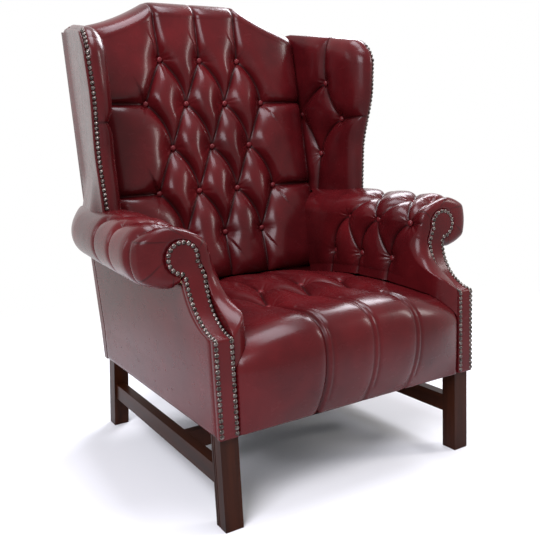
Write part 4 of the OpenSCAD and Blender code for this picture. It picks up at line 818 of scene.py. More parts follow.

# %% [markdown]
# ## Relief of an arm
# The padding makes the arm fuller in the middle of its height, and the pleats cut into it.
# Around the scroll the leather is gathered in short fans: each is a flat facet between two nicks. A fan
# could be a row of small pleats, but facets catch the light as folded hide does. Each nick is also
# written into the fold attribute, so a thin line of painted shade darkens it.

# %% Arm relief and gathers
ARM_TUFT, FANS = 19, (196, 160, 118, 66, 0, -54, -110)
FAN_DEEP, FAN_RADIUS, NICK_DEEP, NICK_WIDE, NICK_LINE = 48, 52, 2.2, 6, 1.6
keep, fold = relief(y, run_at(qq), arm_pleats)
full = 4 + 6 * unit((y - ROLL_FRONT) / 300)
full = full * unit((y - 110) / 60) * np.sin(np.pi * unit((qq - 0.15) / 1.7)) ** 0.5
deep = ARM_TUFT * (1 - keep) + puckers(y, run_at(qq), arm_spots) - full
theta = ring_angle(qq)
fade = unit((150 - y) / 42) * unit(rim * 3) * (qq > 1)
for fan, after in zip(FANS, FANS[1:]):
    half = (fan - after) / 2
    off = np.minimum(half, np.abs(theta - (fan + after) / 2))
    flat = 1 - math.cos(math.radians(half)) / np.cos(np.radians(off))
    deep = deep + FAN_DEEP * flat * fade * ((theta <= fan) & (theta > after))
    gap = np.abs(theta - after) * math.pi / 180 * FAN_RADIUS
    deep = deep + NICK_DEEP * (1 - puff(gap / NICK_WIDE)) * fade
    # A thin line of painted shade along each nick, through the fold attribute.
    fold = np.maximum(fold, 0.8 * np.exp(-(gap / NICK_LINE) ** 2) * fade)
print("deepest fold of an arm:", round(float(deep.max()), 1), "mm")

# %% [markdown]
# ## The arm covers
# Now each grid point goes its share of the way from the rim to the section. The inside of
# the cover is a coarse lining that keeps clear of the frame's rail and stump, so that wood
# and leather don't cut through each other when the chair is cut open or weighed.

# %% Arm covers
LAP, WEB, HOLLOW = 11.4, 18.0, 132.0
HOLLOW_RING, RING_SHIFT, WALL_SHIFT = 28.0, 6, 7
LINING, LINING_AT = 22.0, (134.0, 290.0, 426.0)
sx, sz, _ = arm_section(qq, y, deep)
rx, rz = rim_at(qq, RIM_BEHIND)
rim_x, rim_foot = rim_at(0.0, RIM_BEHIND)
px, pz = mix(rx, sx, rim), mix(rz, sz, rim)
foot_z = mix(rim_foot, seat_side_z(FOOT_X, y) + 2, rim)
pz = pz + (seat_side_z(mix(rim_x, FOOT_X, rim), y) + 2 - foot_z) * np.maximum(0, 1 - qq)
front = np.stack([px, y, pz], -1)
q1 = q[:, 0]
on_wall = q1 < 1
ring_x, ring_z = ring(q1, HOLLOW_RING, SCROLL_X + RING_SHIFT)
ex, ez = rim_at(q1, RIM_BEHIND + LAP)
back = [np.stack([ex, rim_y(q1, LAP), ez], -1)]
for behind, depth in ((RIM_BEHIND + WEB, rim_y(q1, WEB)), (HOLLOW, HOLLOW + 0 * q1)):
    hx, hz = rim_at(q1, behind)
    hx, hz = np.where(on_wall, hx + WALL_SHIFT, ring_x), np.where(on_wall, hz, ring_z)
    back.append(np.stack([hx, depth, hz], -1))
for depth in (*LINING_AT, end_y[:, 0]):
    ix, iz, _ = arm_section(np.maximum(q1, 0.04), depth + 0 * q1, LINING)
    back.append(np.stack([ix, depth + 0 * q1, iz], -1))
leather_pair("tufted_arm", "arm_cover", front, np.stack(back, 1), fold)

# %% [markdown]
# ## The outline of the wings
# A wing is a padded board that stands on the arm and flares outward to its front edge. Its
# front edge swings back low down, where it meets the arm, and its foot is drawn down onto
# the round of the arm. The outside panel and the nails follow the same outline later.

# %% Wing outline
WING_Y, WING_X, WING_TOP = 393.0, 409.0, 1028.0
WING_LEAN, LOW_INNER, HIGH_INNER = math.radians(3.5), 336, 352
SWING, SWING_FROM, SWING_RISE = 34, 720, 180
SLOPE_FROM, SLOPE_RUN = 440.0, 250
SETTLE, SETTLE_RISE = 8, 60
_, roll_z, roll_size = REAR_ROLL
WING_FOOT = roll_z + roll_size + GAP


def wing_front(z):
    return WING_Y + SWING * (1 - ease((z - SWING_FROM) / SWING_RISE))


def wing_top(y):
    return np.minimum(SHOULDER, mix(WING_TOP, SHOULDER, (y - SLOPE_FROM) / SLOPE_RUN))


def wing_rear(z):
    return post_front(z) - GAP


def wing_run(y, z):
    """0 at the post, 1 at the front edge."""
    return unit((wing_rear(z) - y) / (wing_rear(z) - wing_front(z)))


def wing_shell(y, z):
    front_x = WING_X - (WING_TOP - z) * math.tan(WING_LEAN)
    return mix(shell_outer(z), front_x, wing_run(y, z))


def wing_inner(y, z):
    front_x = mix(LOW_INNER, HIGH_INNER, unit((z - WING_FOOT) / (WING_TOP - WING_FOOT)))
    return mix(back_half(z) + 2 * GAP, front_x, wing_run(y, z))


def settle(x, y, z):
    """Height of a wing's point after its foot is drawn down onto the arm."""
    cx, cz, size = roll_circle(y)
    across = np.where(x < cx, (x - cx) * size / (cx - ARM_IN), x - cx)
    arm_z = cz + np.sqrt(np.maximum(0, size ** 2 - across ** 2))
    return z - (WING_FOOT - arm_z + SETTLE) * (1 - unit((z - WING_FOOT) / SETTLE_RISE)) ** 1.5


print("wing from", WING_FOOT, "to", WING_TOP, "mm, front edge", WING_Y, "mm deep")

# %% [markdown]
# ## The grid of a wing
# Front and top edge meet in a round corner. A plain grid would bunch up there, so the outer
# columns and rows are bent: wherever a point lies inside the corner's square it is pulled
# onto an arc. Past the outline the same rows go on as the hem that turns back over the board.

# %% Wing grid
BORDER, FLAT_START, WING_CORNER = 50.0, 58.0, 62.0
HEM = 15.0


def wing_grid(cols, rows, turns, rear, inset, hem_turns=0, least=0.0):
    """y, z and distance inside the outline, which counts below zero in the hem."""
    bends = BORDER * (1 - np.cos(np.pi / 2 * np.linspace(1, 0, turns)))
    hems = -HEM * (1 - np.cos(np.pi / 2 * np.linspace(0, 1, hem_turns + 1)[1:]))
    bends = np.concatenate([bends, hems])
    share = np.concatenate([np.linspace(0, 1, cols), np.ones(len(bends))])[:, None]
    bend_c = np.concatenate([np.full(cols, np.nan), bends + inset])[:, None]
    lift = np.concatenate([np.linspace(0, 1, rows), np.ones(len(bends))])[None, :]
    bend_r = np.concatenate([np.full(rows, np.nan), bends + inset])[None, :]
    flat_c, flat_r = np.isnan(bend_c), np.isnan(bend_r)
    bend_c, bend_r = np.nan_to_num(bend_c), np.nan_to_num(bend_r)

    def col_y(z):
        plain = mix(rear(z), wing_front(z) + FLAT_START + inset, share)
        return np.where(flat_c, plain, wing_front(z) + np.abs(bend_c))

    top = wing_top(col_y(mix(WING_FOOT, WING_TOP - FLAT_START, lift) + 0 * share))
    flat_z = mix(WING_FOOT, top - FLAT_START - inset, lift)
    z = np.where(flat_r, flat_z, top - np.abs(bend_r))
    side = np.where(flat_c, col_y(z) - wing_front(z), bend_c)
    over = np.where(flat_r, top - z, bend_r)
    edge = np.minimum(side, over)
    return (*round_corner(side, over, edge, least, z, top), edge)


def round_corner(side, over, edge, least, z, top):
    """y and z of points whose distances from the front and top edge are given."""
    spare = np.abs(edge) + 0.15 * np.abs(side - over)
    dx = np.where(side <= over, np.abs(side), np.maximum(np.abs(side), spare))
    dz = np.where(over <= side, np.abs(over), np.maximum(np.abs(over), spare))
    dx, dz = np.maximum(dx, least), np.maximum(dz, least)
    px, pz = WING_CORNER - dx, WING_CORNER - dz
    pull = (dx < WING_CORNER) & (dz < WING_CORNER)
    scale = np.where(pull, np.maximum(px, pz) / np.maximum(1e-9, np.hypot(px, pz)), 1)
    ny = np.where(pull, WING_CORNER - scale * px, dx)
    nz = np.where(pull, WING_CORNER - scale * pz, dz)
    return wing_front(z) + ny, top - nz


print("a plain wing grid has", wing_grid(4, 4, 3, wing_rear, 0)[0].shape, "points")

# %% [markdown]
# ## The wing covers
# Four buttons shape the inside of a wing: a fold comes down from the top, and the others
# join the buttons and run out to the front edge, the back and the arm. The cover swells
# from its hem with the soft edge curve, as all the pads do, over a coarse lining at the board.

# %% Wing covers
WING_COLS, WING_ROWS, WING_TURNS, HEM_TURNS = 96, 190, 24, 9
BOARD_EDGE, BOARD_CLEAR, BOARD_DEEP = 29.0, 5.4, 22.0
HEM_WIDE, HEM_CLEAR, WING_TUFT, WING_SWELL = 22.0, 5.2, 22, 78
wing_spots = [(mix(WING_Y, FRAME_DEPTH, a), mix(WING_FOOT, SHOULDER, b))
              for a, b in ((0.579, 0.6585), (0.342, 0.433), (0.662, 0.229), (0.96, 0.4845))]
high, fore, low, rear = wing_spots
wing_pleats = [
    pleat((505, 1120), high, (0.35, 1), 16, 40, 52),
    pleat((505, 1120), high, (0.3, 0.3), 16, 16, 8),
    pleat(high, rear, (1, 1), 12, 50, 60),
    pleat(high, fore, (0.6, 0.6), 0, 40, 40),
    pleat(fore, (300, fore[1] + 4), (0.9, 0.25), 0, 40, 40),
    pleat(fore, low, (1, 1), 14, 50, 60),
    pleat(rear, low, (0.9, 0.9), -6, 50, 50),
    pleat(rear, (760, rear[1]), (1, 1), 0, 40, 40),
    pleat(low, (low[0] + 10, 560), (0.9, 0.5), 0, 46, 46)]
y, z, edge = wing_grid(WING_COLS, WING_ROWS, WING_TURNS, wing_rear, 0, HEM_TURNS)
keep, fold = relief(y, z, wing_pleats)
tuft = WING_TUFT * (1 - keep) - 4 + puckers(y, z, wing_spots)
shell = wing_shell(y, z)
hem_x = shell - HEM_CLEAR - (HEM_WIDE - HEM_CLEAR) * (1 - puff(-edge / HEM))
pad_x = mix(shell - HEM_WIDE, wing_inner(y, z) + tuft, soft_edge(edge / WING_SWELL))
x = np.where(edge < 0, hem_x, pad_x)
front = np.stack([x, y, settle(x, y, z)], -1)
y, z, edge = wing_grid(WING_COLS, WING_ROWS, WING_TURNS, wing_rear, 0, HEM_TURNS, HEM + 0.5)
board_x = wing_shell(y, z) - np.where(np.abs(edge) < BOARD_EDGE, BOARD_CLEAR, BOARD_DEEP)
back = np.stack([board_x, y, settle(board_x, y, z)], -1)
leather_pair("tufted_wing", "wing_cover", front, back, fold)

# %% [markdown]
# ## The outside arm panels
# Outside, the leather is stretched plain over the frame. This panel runs from the facing to
# the rear edge: in front it ends under the roll, behind it climbs the post to the wing. It
# could be one flat sheet, but the real one swells a little and turns in at its edges, and
# its rows stay level below the roll so that no quad is sheared.

# %% Outside arm panels
PANEL_SPLIT, PANEL_RIM, PANEL_THIN, PANEL_SWELL = 0.86, 5, 2.2, 1.5


def arm_panel_top(i):
    """Height of the panel's top edge: under the roll, then up the post to the wing."""
    return np.interp(i, [0, 1, 2, 2.02, 4], [486, 496, 496, WING_FOOT - GAP, WING_FOOT - GAP])


def arm_panel(i, t, out):
    """Point of an outside arm panel: i from 0 at the facing to 4 at the rear edge."""
    roll_line = np.interp(i, [0, 1, 4], [484, 494, 494])
    above = mix(roll_line, arm_panel_top(i), (t - PANEL_SPLIT) / (1 - PANEL_SPLIT))
    z = np.where(t < PANEL_SPLIT, mix(LEG_SHOW, roll_line, t / PANEL_SPLIT), above)
    stops = [facing_y(z) + LAP, 300 + 0 * z, post_front(z) - 3, post_front(z) - 2, post_back(z)]
    y = stops[0]
    for k in range(4):
        y = np.where(i > k, mix(stops[k], stops[k + 1], unit(i - k)), y)
    x = mix(HALF_SPAN + GAP + facing_outer(z) - FACING_OUT, post_outer(z) + GAP, unit(i))
    return np.stack([x + out, y, z], -1)


i = np.concatenate([np.linspace(0, 1, 34)[:-1], np.linspace(1, 2, 30), [2.02, 3],
                    np.linspace(3, 4, 9)[1:]])[:, None]
t = np.concatenate([np.linspace(0, PANEL_SPLIT, 52), np.linspace(PANEL_SPLIT, 1, 11)[1:]])[None, :]
ii, tt = i + 0 * t, t + 0 * i
inner = arm_panel(ii, tt, 0.0)
to_hem = np.minimum(inner[..., 2] - LEG_SHOW, arm_panel_top(ii) - inner[..., 2])
to_end = np.minimum(ii * 300, (4 - ii) * POST_DEPTH)
rim_round = puff(to_hem / PANEL_RIM) * puff(to_end / PANEL_RIM)
full = PANEL_SWELL * np.sin(np.pi * unit(ii / 2)) * np.sin(np.pi * unit(tt / 0.9))
outer = arm_panel(ii, tt, mix(PANEL_THIN, SKIN, rim_round) + full)
leather_pair("outside_arm_panel", "outside_arm", outer, inner)

# %% [markdown]
# ## The outside wing panels
# The wing's outside leather has the wing's own outline, a little smaller so that the pad's
# hem shows around it. At its foot it laps over the roll of the arm and stands out there. The
# wing's grid is used again with a wider inset, which keeps both pieces in step.

# %% Outside wing panels
FLARE, FLARE_HIGH, FLARE_REAR, PANEL_INSET = 24, 110, 46, 10


def roll_flare(y, z):
    """How far the panel's foot stands out where it laps over the roll of the arm."""
    low = (1 - unit((z - WING_FOOT) / FLARE_HIGH)) ** 2
    fore_aft = ease((y - wing_front(z)) / FLARE_HIGH) * ease((post_back(z) - y) / FLARE_REAR)
    return FLARE * low * fore_aft


y, z, edge = wing_grid(34, 80, 14, post_back, PANEL_INSET)
shell = wing_shell(y, z) + roll_flare(y, z)
inside = edge - PANEL_INSET
turned = 3.2 * (1 - puff(inside / PANEL_RIM)) - 1.6 * puff(inside / 60)
front = np.stack([shell - turned, y, settle(shell, y, z)], -1)
back = np.stack([shell - SKIN, y, settle(shell, y, z)], -1)
leather_pair("outside_wing_panel", "outside_wing", front, back)

# %% [markdown]
# ## The outside back panel
# One large panel closes the rear from the crest to the legs. It is tacked along its edges and
# slightly plump between them. A flat board would look hard from behind, so the grid has the
# crest's outline, a turned-in border and a low swell.

# %% Outside back panel
BACK_STAND, BACK_SLOPE, BACK_LOWER, BACK_PLUMP = 26, 85.6, 9, 3
shoulder_x = float(shell_outer(SHOULDER))
u, v = np.linspace(-1, 1, 90)[:, None], np.linspace(0, 1, 130)[None, :]
on_crest = np.abs(u) * shoulder_x < CREST_HALF + CREST_FALL
top = np.where(on_crest, crest_z(u * shoulder_x), SHOULDER) - BACK_LOWER
z = mix(LEG_SHOW, top, v)
x = u * shell_outer(z)
y = FRAME_DEPTH + BACK_STAND + (z - LEG_SHOW) * BACK_SLOPE / (CREST - LEG_SHOW)
border = np.minimum(shell_outer(z) - np.abs(x), np.minimum(z - LEG_SHOW, top - z))
plump = BACK_PLUMP * (1 - unit(np.abs(u)) ** 4) * np.sin(np.pi * unit(v))
front = np.stack([x, y - 4 * (1 - puff(border / PANEL_RIM)) + plump, z], -1)
outside_back = closed_form("outside_back_panel", front, np.stack([x, post_back(z), z], -1))
upholster(outside_back, "leather", "outside_back")

# %% [markdown]
# ## Pads over the posts
# Between the back and each wing the frame's post is covered by a small pad. It only shows
# as the fold where the crest and the wing meet. A full cushion would be hidden work, so a
# block with a rounded top is enough.

# %% Post pads
PAD_FOOT, PAD_IN, PAD_OUT, PAD_ROUND = 1056.0, 317.4, 341.3, 6


def post_pad(name, side):
    v = np.linspace(0, 1, 12)[None, :]
    u = np.linspace(0, 1, 8)[:, None]
    z = mix(PAD_FOOT, SHOULDER - 1, v) + 0 * u
    soft = PAD_ROUND * (1 - puff(np.minimum(u, 1 - u) * 26 / PAD_ROUND)) * v
    grids = []
    for depth in (0, POST_DEPTH):
        y = post_back(z) - (POST_DEPTH - depth) / math.cos(RAKE_ANGLE)
        grids.append(np.stack([side * mix(PAD_IN, PAD_OUT, u + 0 * v), y, z - soft], -1))
    return closed_form(name, *grids)


for pad in (post_pad("post_pad_right", 1), post_pad("post_pad_left", -1)):
    upholster(pad, "leather", "post_pads")

# %% [markdown]
# ## Domes
# Nails and covered buttons are both low domes. One small dome is turned once and then copied
# to every place, and all copies of a group become one mesh, as the frame groups them.
# Instances would be lighter, but one mesh each is easier to hand on.

# %% Domes
RIM_SHARE = 0.8


def dome(radius, height, sides, rings, skirt):
    """Points and faces of a low dome whose rim turns in at a depth below it."""
    bends = [r / rings * math.pi / 2 for r in range(1, rings + 1)]
    levels = [(radius * math.sin(a), height * math.cos(a)) for a in bends]
    spokes = [2 * math.pi * k / sides for k in range(sides)]
    points = [(0.0, 0.0, height)]
    for wide, high in levels + [(radius * RIM_SHARE, -skirt)]:
        points += [(wide * math.cos(b), wide * math.sin(b), high) for b in spokes]
    faces = []
    for k in range(sides):
        n = (k + 1) % sides
        faces.append((0, 1 + k, 1 + n))
        for r in range(rings):
            low, high = 1 + r * sides, 1 + (r + 1) * sides
            faces.append((low + k, high + k, high + n, low + n))
    faces.append(tuple(1 + rings * sides + k for k in reversed(range(sides))))
    return np.array(points), faces


def scatter(name, shape, places):
    """One mesh with a copy of the shape at every (point, outward direction)."""
    points, faces = shape
    all_points, all_faces = [], []
    for point, normal in places:
        turn = np.array(Vector(normal).to_track_quat("Z", "Y").to_matrix())
        base = len(all_points) * len(points)
        all_points.append(points @ turn.T + np.array(point, float))
        all_faces += [tuple(base + k for k in f) for f in faces]
    return finish_mesh(name, np.concatenate(all_points), all_faces, [])


def scatter_pair(name, shape, places, slot, replaced):
    """The copies on the right-hand side and their mirrored twins."""
    twins = [((-p[0], p[1], p[2]), (-n[0], n[1], n[2])) for p, n in places]
    for side, spots in (("right", places), ("left", twins)):
        upholster(scatter(f"{name}_{side}", shape, spots), slot, f"{replaced}_{side}")


nail_shape = dome(5.0, 3.4, 16, 5, 0.5)
button_shape = dome(7.8, 5.2, 22, 7, 6.0)
print("points in a nail and in a button:", len(nail_shape[0]), len(button_shape[0]))

# %% [markdown]
# ## Nails of the facings
# Close rows of domed nails follow both edges of each facing and go around its scroll. On the
# real chair they are hammered in one beside the other. Here each stretch of edge is divided
# into whole steps near one nail's width, so that no row ends with a gap or a half nail.

# %% Nails of the facings
MARGIN, NAIL_PITCH, NAIL_SINK = 5.0, 10.6, 0.4
SCROLL_FROM, SCROLL_TO, CLOSING_Z = 196, -84, 521.5
FORWARD = (0, -1, 0)
zenith = math.degrees(math.asin(CORNER))
places = []
count = round((CORNER_Z - LEG_SHOW - 12) / NAIL_PITCH)
for k in range(count + 1):
    z = mix(LEG_SHOW + 8, CORNER_Z - NAIL_PITCH * 0.45, k / count)
    for x in (FACING_OUT - MARGIN, FACING_IN + MARGIN):
        places.append(((x, FRONT_FACE - NAIL_SINK, z), FORWARD))
length = math.radians(90 - zenith) * (SWEEP_HEIGHT + SWEEP_DEPTH) / 2
count = round(length / NAIL_PITCH)
for k in range(count + 1):
    a = math.radians(mix(zenith, 90, (k + 0.3) / (count + 0.3)))
    z = NECK_Z - SWEEP_HEIGHT * math.cos(a)
    y = float(facing_y(z)) - NAIL_SINK
    lean = (0, -math.sin(a), math.cos(a) * 0.9)
    if z < NOTCH_Z + 1:
        places.append(((float(facing_outer(z)) - MARGIN, y, z), lean))
    places.append(((float(facing_inner(z)) + MARGIN, y, z), lean))
scroll_y = FRONT_FACE + SETBACK - NAIL_SINK
places.append(((float(facing_inner(CLOSING_Z)) + MARGIN, scroll_y, CLOSING_Z), FORWARD))
ring_r = SCROLL_R - MARGIN
count = round(math.radians(SCROLL_FROM - SCROLL_TO) * ring_r / NAIL_PITCH)
for k in range(count + 1):
    a = math.radians(mix(SCROLL_FROM, SCROLL_TO, k / count))
    spot = (SCROLL_X + ring_r * math.cos(a), scroll_y, SCROLL_Z + ring_r * math.sin(a))
    places.append((spot, FORWARD))
print("nails on a facing:", len(places))
scatter_pair("nail_rows", nail_shape, places, "nails", "facing_nails")

# %% [markdown]
# ## Nails of the wings
# One row runs up the front edge of each wing and around its corner. It sits where the hem
# turns back over the board, so each nail is tilted half outward. The row's place comes from
# the same hem curve as the cover's mesh, because a nail must neither float nor drown.

# %% Nails of the wings
NAIL_TILT, CORNER_TURN, FIRST_NAIL = math.radians(48), 74, 10
nail_out = HEM_CLEAR + (HEM_WIDE - HEM_CLEAR) * (1 - math.sin(NAIL_TILT))
nail_in = HEM * (1 - math.cos(NAIL_TILT))


def on_hem(y, z):
    return float(wing_shell(y, z)) - nail_out, y, z


places = []
top = WING_TOP - WING_CORNER
count = round((top - WING_FOOT - FIRST_NAIL) / NAIL_PITCH)
for k in range(count + 1):
    z = mix(WING_FOOT + FIRST_NAIL, top, k / count)
    x, y, z = on_hem(float(wing_front(z)), z)
    places.append(((x, y + nail_in, z), (0.7, -0.7, 0)))
arc_r = WING_CORNER - nail_in
count = round(math.radians(CORNER_TURN) * arc_r / NAIL_PITCH)
for k in range(1, count + 1):
    a = math.radians(CORNER_TURN * k / count)
    y = WING_Y + WING_CORNER - arc_r * math.cos(a)
    z = float(wing_top(y)) - WING_CORNER + arc_r * math.sin(a)
    places.append((on_hem(y, z), (0.7, -0.7 * math.cos(a), 0.7 * math.sin(a))))
print("nails on a wing:", len(places))
scatter_pair("wing_nail_row", nail_shape, places, "nails", "wing_nails")

# %% [markdown]
# ## Buttons of the back and the seat
# A covered button sits at the bottom of each tuft. It is pulled in so far that only its dome
# shows above the leather, and it faces the way the pad faces there. The places are those
# that the pleats start from, so button and fold always meet.

# %% Buttons of the back and the seat
BACK_SINK, SEAT_SINK = 2.0, 24
leaning = (0, -math.cos(BACK_LEAN), -math.sin(BACK_LEAN))
back_places = [((x, float(back_surface(x, z, 0.0)) - BACK_SINK, z), leaning) for x, z in back_spots]
seat_places = [((x, y, float(seat_top(x, y)) - SEAT_SINK), (0, -0.12, 1)) for x, y in seat_spots]
for part, places in (("back", back_places), ("seat", seat_places)):
    buttons = scatter(f"covered_buttons_{part}", button_shape, places)
    upholster(buttons, "button_leather", f"{part}_buttons")

# %% [markdown]
# ## Buttons of the arms and the wings
# On an arm the direction changes around the section, so each button looks from a deeper to a
# shallower inset of the same place. On a wing the surface is nearly flat, and one direction
# serves all four.

# %% Buttons of the arms and the wings
DEEP_INSET, SHALLOW_INSET, WING_SINK = 17.5, 7.5, 16.0
arm_places = []
for row, q_row in ((arm_low, LOW_SHARE), (arm_high, 1.0), (arm_top, 1 + TOP_SHARE)):
    for y, _ in row:
        (sx, sz), (tx, tz) = (arm_section(q_row, y, inset)[:2] for inset in (DEEP_INSET, SHALLOW_INSET))
        arm_places.append(((float(sx), y, float(sz)), (float(tx - sx), 0, float(tz - sz))))
wing_places = [((float(wing_inner(y, z)) + WING_SINK, y, z), (-1, -0.1, 0)) for y, z in wing_spots]
scatter_pair("covered_buttons_arm", button_shape, arm_places, "button_leather", "arm_buttons")
scatter_pair("covered_buttons_wing", button_shape, wing_places, "button_leather", "wing_buttons")

# %% [markdown]
# ## Shader maths
# Blender's materials are graphs of nodes. Writing a formula such as 1 - mask by hand takes a
# node and two links each time, so a small class wraps a socket and lets Python's operators
# add the Math nodes. All other nodes come from one method of the sheet being written, which
# takes the node's settings first and then what goes into its sockets.

# %% Socket expressions
class Wire:
    """A socket that can be used in a formula."""

    def __init__(self, sheet, socket):
        self.sheet, self.socket = sheet, socket

    def _math(self, operation, a, b):
        return self.sheet.node("ShaderNodeMath", {"operation": operation}, {0: a, 1: b})

    def __add__(self, other):
        return self._math("ADD", self, other)

    def __mul__(self, other):
        return self._math("MULTIPLY", self, other)

    def __sub__(self, other):
        return self._math("SUBTRACT", self, other)

    def __rsub__(self, other):
        return self._math("SUBTRACT", other, self)

    def __or__(self, other):
        """The larger of two masks."""
        return self._math("MAXIMUM", self, other)

    __radd__, __rmul__, __ror__ = __add__, __mul__, __or__


class Sheet:
    """A node tree that is being written."""

    def __init__(self, tree):
        self.tree = tree

    def node(self, kind, settings=None, inputs=None, out=0):
        made = self.tree.nodes.new(kind)
        for key, value in (settings or {}).items():
            setattr(made, key, value)
        for key, value in (inputs or {}).items():
            self.feed(made.inputs[key], value)
        return Wire(self, made.outputs[out] if made.outputs else None)

    def feed(self, socket, value):
        if isinstance(value, Wire):
            self.tree.links.new(value.socket, socket)
        else:
            socket.default_value = value

    def seen(self):
        """1 where the camera, a reflection or a glass looks, 0 for all other light."""
        camera, glossy, through = (self.node("ShaderNodeLightPath", out=f"Is {kind} Ray")
                                   for kind in ("Camera", "Glossy", "Transmission"))
        return camera | glossy | through


print("formulas are written with", Wire.__name__, "on a", Sheet.__name__)

# %% [markdown]
# ## A finish
# Every finish on the chair is a principled shader with a few patterns before it. The patterns
# are the same kinds each time: noise at some scale, a blend of two colours, a bump. They are
# methods here, so that each finish below is only what a maker would say about it.

# %% Finishes
class Finish(Sheet):
    """A material that is being written, with its Principled shader."""

    def __init__(self, name, **constants):
        self.material = bpy.data.materials.new(name)
        self.material.use_nodes = True
        super().__init__(self.material.node_tree)
        self.shader = self.tree.nodes["Principled BSDF"]
        for socket, value in constants.items():
            self.set(socket.replace("_", " "), value)

    def set(self, socket, value):
        self.feed(self.shader.inputs[socket], value)

    def place(self, stretch=(1, 1, 1)):
        spot = self.node("ShaderNodeTexCoord", out="Object")
        return self.node("ShaderNodeMapping", {}, {"Vector": spot, "Scale": stretch})

    def noise(self, where, scale, detail=4.0, rough=0.5):
        return self.node("ShaderNodeTexNoise", {}, {"Vector": where, "Scale": scale, "Detail": detail,
                                                   "Roughness": rough})

    def spread(self, value, low, high):
        """Stretches the range from low to high to 0 to 1."""
        return self.node("ShaderNodeMapRange", {}, {0: value, 1: low, 2: high})

    def blend(self, share, a, b):
        return self.node("ShaderNodeMix", {"data_type": "RGBA"}, {0: share, 6: a, 7: b}, 2)

    def bump(self, height, strength, distance):
        self.set("Normal", self.node("ShaderNodeBump", {}, {"Height": height, "Strength": strength,
                                                            "Distance": distance}))


def dress(slot, material):
    """Puts a finish on every piece that names this slot."""
    pieces = [o for o in scene.objects if o.get("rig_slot") == slot]
    for obj in pieces:
        obj.data.materials.append(material)
    print(material.name, "on", len(pieces), "pieces")


# %% [markdown]
# ## Leather
# This leather is dyed oxblood, with a soft wax shine. The colour is a slow noise between two tones, and
# the fold attribute darkens it along every fold: that darkening is painted shade in the creases. A fine
# cell pattern gives the grain of the hide and a coarser noise its creases. The buttons are covered in
# the same hide, stretched thin and so a little brighter.

# %% Leather finish
LEATHER_ROUGH = 0.26


def leather(name, light, dark, deep):
    f = Finish(name, Specular_IOR_Level=0.13, Coat_Weight=0.05, Coat_Roughness=0.16)
    where = f.place()
    cloud = f.noise(where, 5.0, 3.0)
    spots = f.noise(where, 22.0, 4.0, 0.6)
    worn = f.blend(f.spread(cloud * 0.7 + spots * 0.3, 0.34, 0.66), dark, light)
    fold = f.node("ShaderNodeAttribute", {"attribute_name": "fold"}, out="Fac")
    # Painted shade: the fold attribute pulls the colour towards the deep colour along every crease.
    f.set("Base Color", f.blend(fold * 0.9, worn, deep))
    grain = f.node("ShaderNodeTexVoronoi", {"feature": "DISTANCE_TO_EDGE"},
                   {"Vector": where, "Scale": 700.0})
    creasing = f.noise(f.place((1, 1, 1.6)), 30.0, 4.0, 0.55)
    f.set("Roughness", LEATHER_ROUGH + (creasing - 0.5) * 0.12 + fold * 0.15)
    f.bump(grain * 0.08 + creasing, 0.08, 0.0012)
    return f.material


# The third colour of each leather is the painted shade in the creases.
dress("leather", leather("oxblood_leather", (0.076, 0.0048, 0.0062, 1), (0.036, 0.0022, 0.0032, 1),
                         (0.011, 0.0008, 0.0011, 1)))
dress("button_leather", leather("button_leather", (0.125, 0.014, 0.017, 1), (0.08, 0.008, 0.010, 1),
                                (0.03, 0.003, 0.004, 1)))

# %% [markdown]
# ## Nails
# The nail heads are antique bronze: a brown metal whose high spots are rubbed bright. Each
# head could have its own worn tip. At this size noise does as well: it mixes the two colours,
# and a rougher patch here and there keeps them from looking new.

# %% Nail finish
def antique_bronze():
    f = Finish("antique_bronze", Metallic=1.0)
    where = f.place()
    rubbed = f.spread(f.noise(where, 160.0, 3.0), 0.4, 0.62)
    f.set("Base Color", f.blend(rubbed, (0.032, 0.026, 0.023, 1), (0.16, 0.136, 0.125, 1)))
    f.set("Roughness", 0.2 + f.noise(where, 90.0, 2.0) * 0.2)
    return f.material


dress("nails", antique_bronze())

# %% [markdown]
# ## Wood
# The legs and stretchers are mahogany, stained almost black and polished. The hidden frame is
# plain beech. Grain is noise that is stretched along the wood, so each kind is made once for
# every direction that a piece can lie in. A photograph of wood would show its seams on a
# square leg, and the noise has none.

# %% Wood finishes
def wood(name, light, dark, stretch, roughness, coat):
    f = Finish(name, Specular_IOR_Level=0.06, Coat_Weight=coat, Coat_Roughness=0.15)
    where = f.place(stretch)
    warp = f.noise(where, 5.0, 3.0)
    fibre = f.noise(where, 46.0, 5.0, 0.65)
    pores = f.noise(where, 210.0, 2.0, 0.5)
    f.set("Base Color", f.blend(f.spread(warp * 0.45 + fibre * 0.55, 0.34, 0.66), dark, light))
    f.set("Roughness", roughness + fibre * 0.14)
    f.bump(fibre * 0.6 + pores * 0.4, 0.12, 0.001)
    return f.material


def all_ways(name, light, dark, along, roughness, coat):
    """The same wood for pieces that lie crosswise, lengthwise or stand upright."""
    ways = {"crosswise": (along, 1, 1), "lengthwise": (1, along, 1), "upright": (1, 1, along)}
    return {way: wood(f"{name}_{way}", light, dark, stretch, roughness, coat)
            for way, stretch in ways.items()}


mahogany = all_ways("mahogany", (0.044, 0.011, 0.0045, 1), (0.007, 0.0024, 0.0014, 1), 0.07, 0.3, 0.03)
beech = all_ways("beech", (0.62, 0.42, 0.25, 1), (0.40, 0.25, 0.14, 1), 0.08, 0.5, 0.0)
print("wood finishes:", [wooden.name for wooden in (*mahogany.values(), *beech.values())])

# %% [markdown]
# ## Cloth and steel inside
# Under the leather are jute straps and hessian, felt pads, a black lining and steel springs.
# Little of it shows, but each has its finish: a weave is two crossed waves, felt is soft
# noise, and drawn steel has a slight streak. Woven threads as geometry would be lost in here.

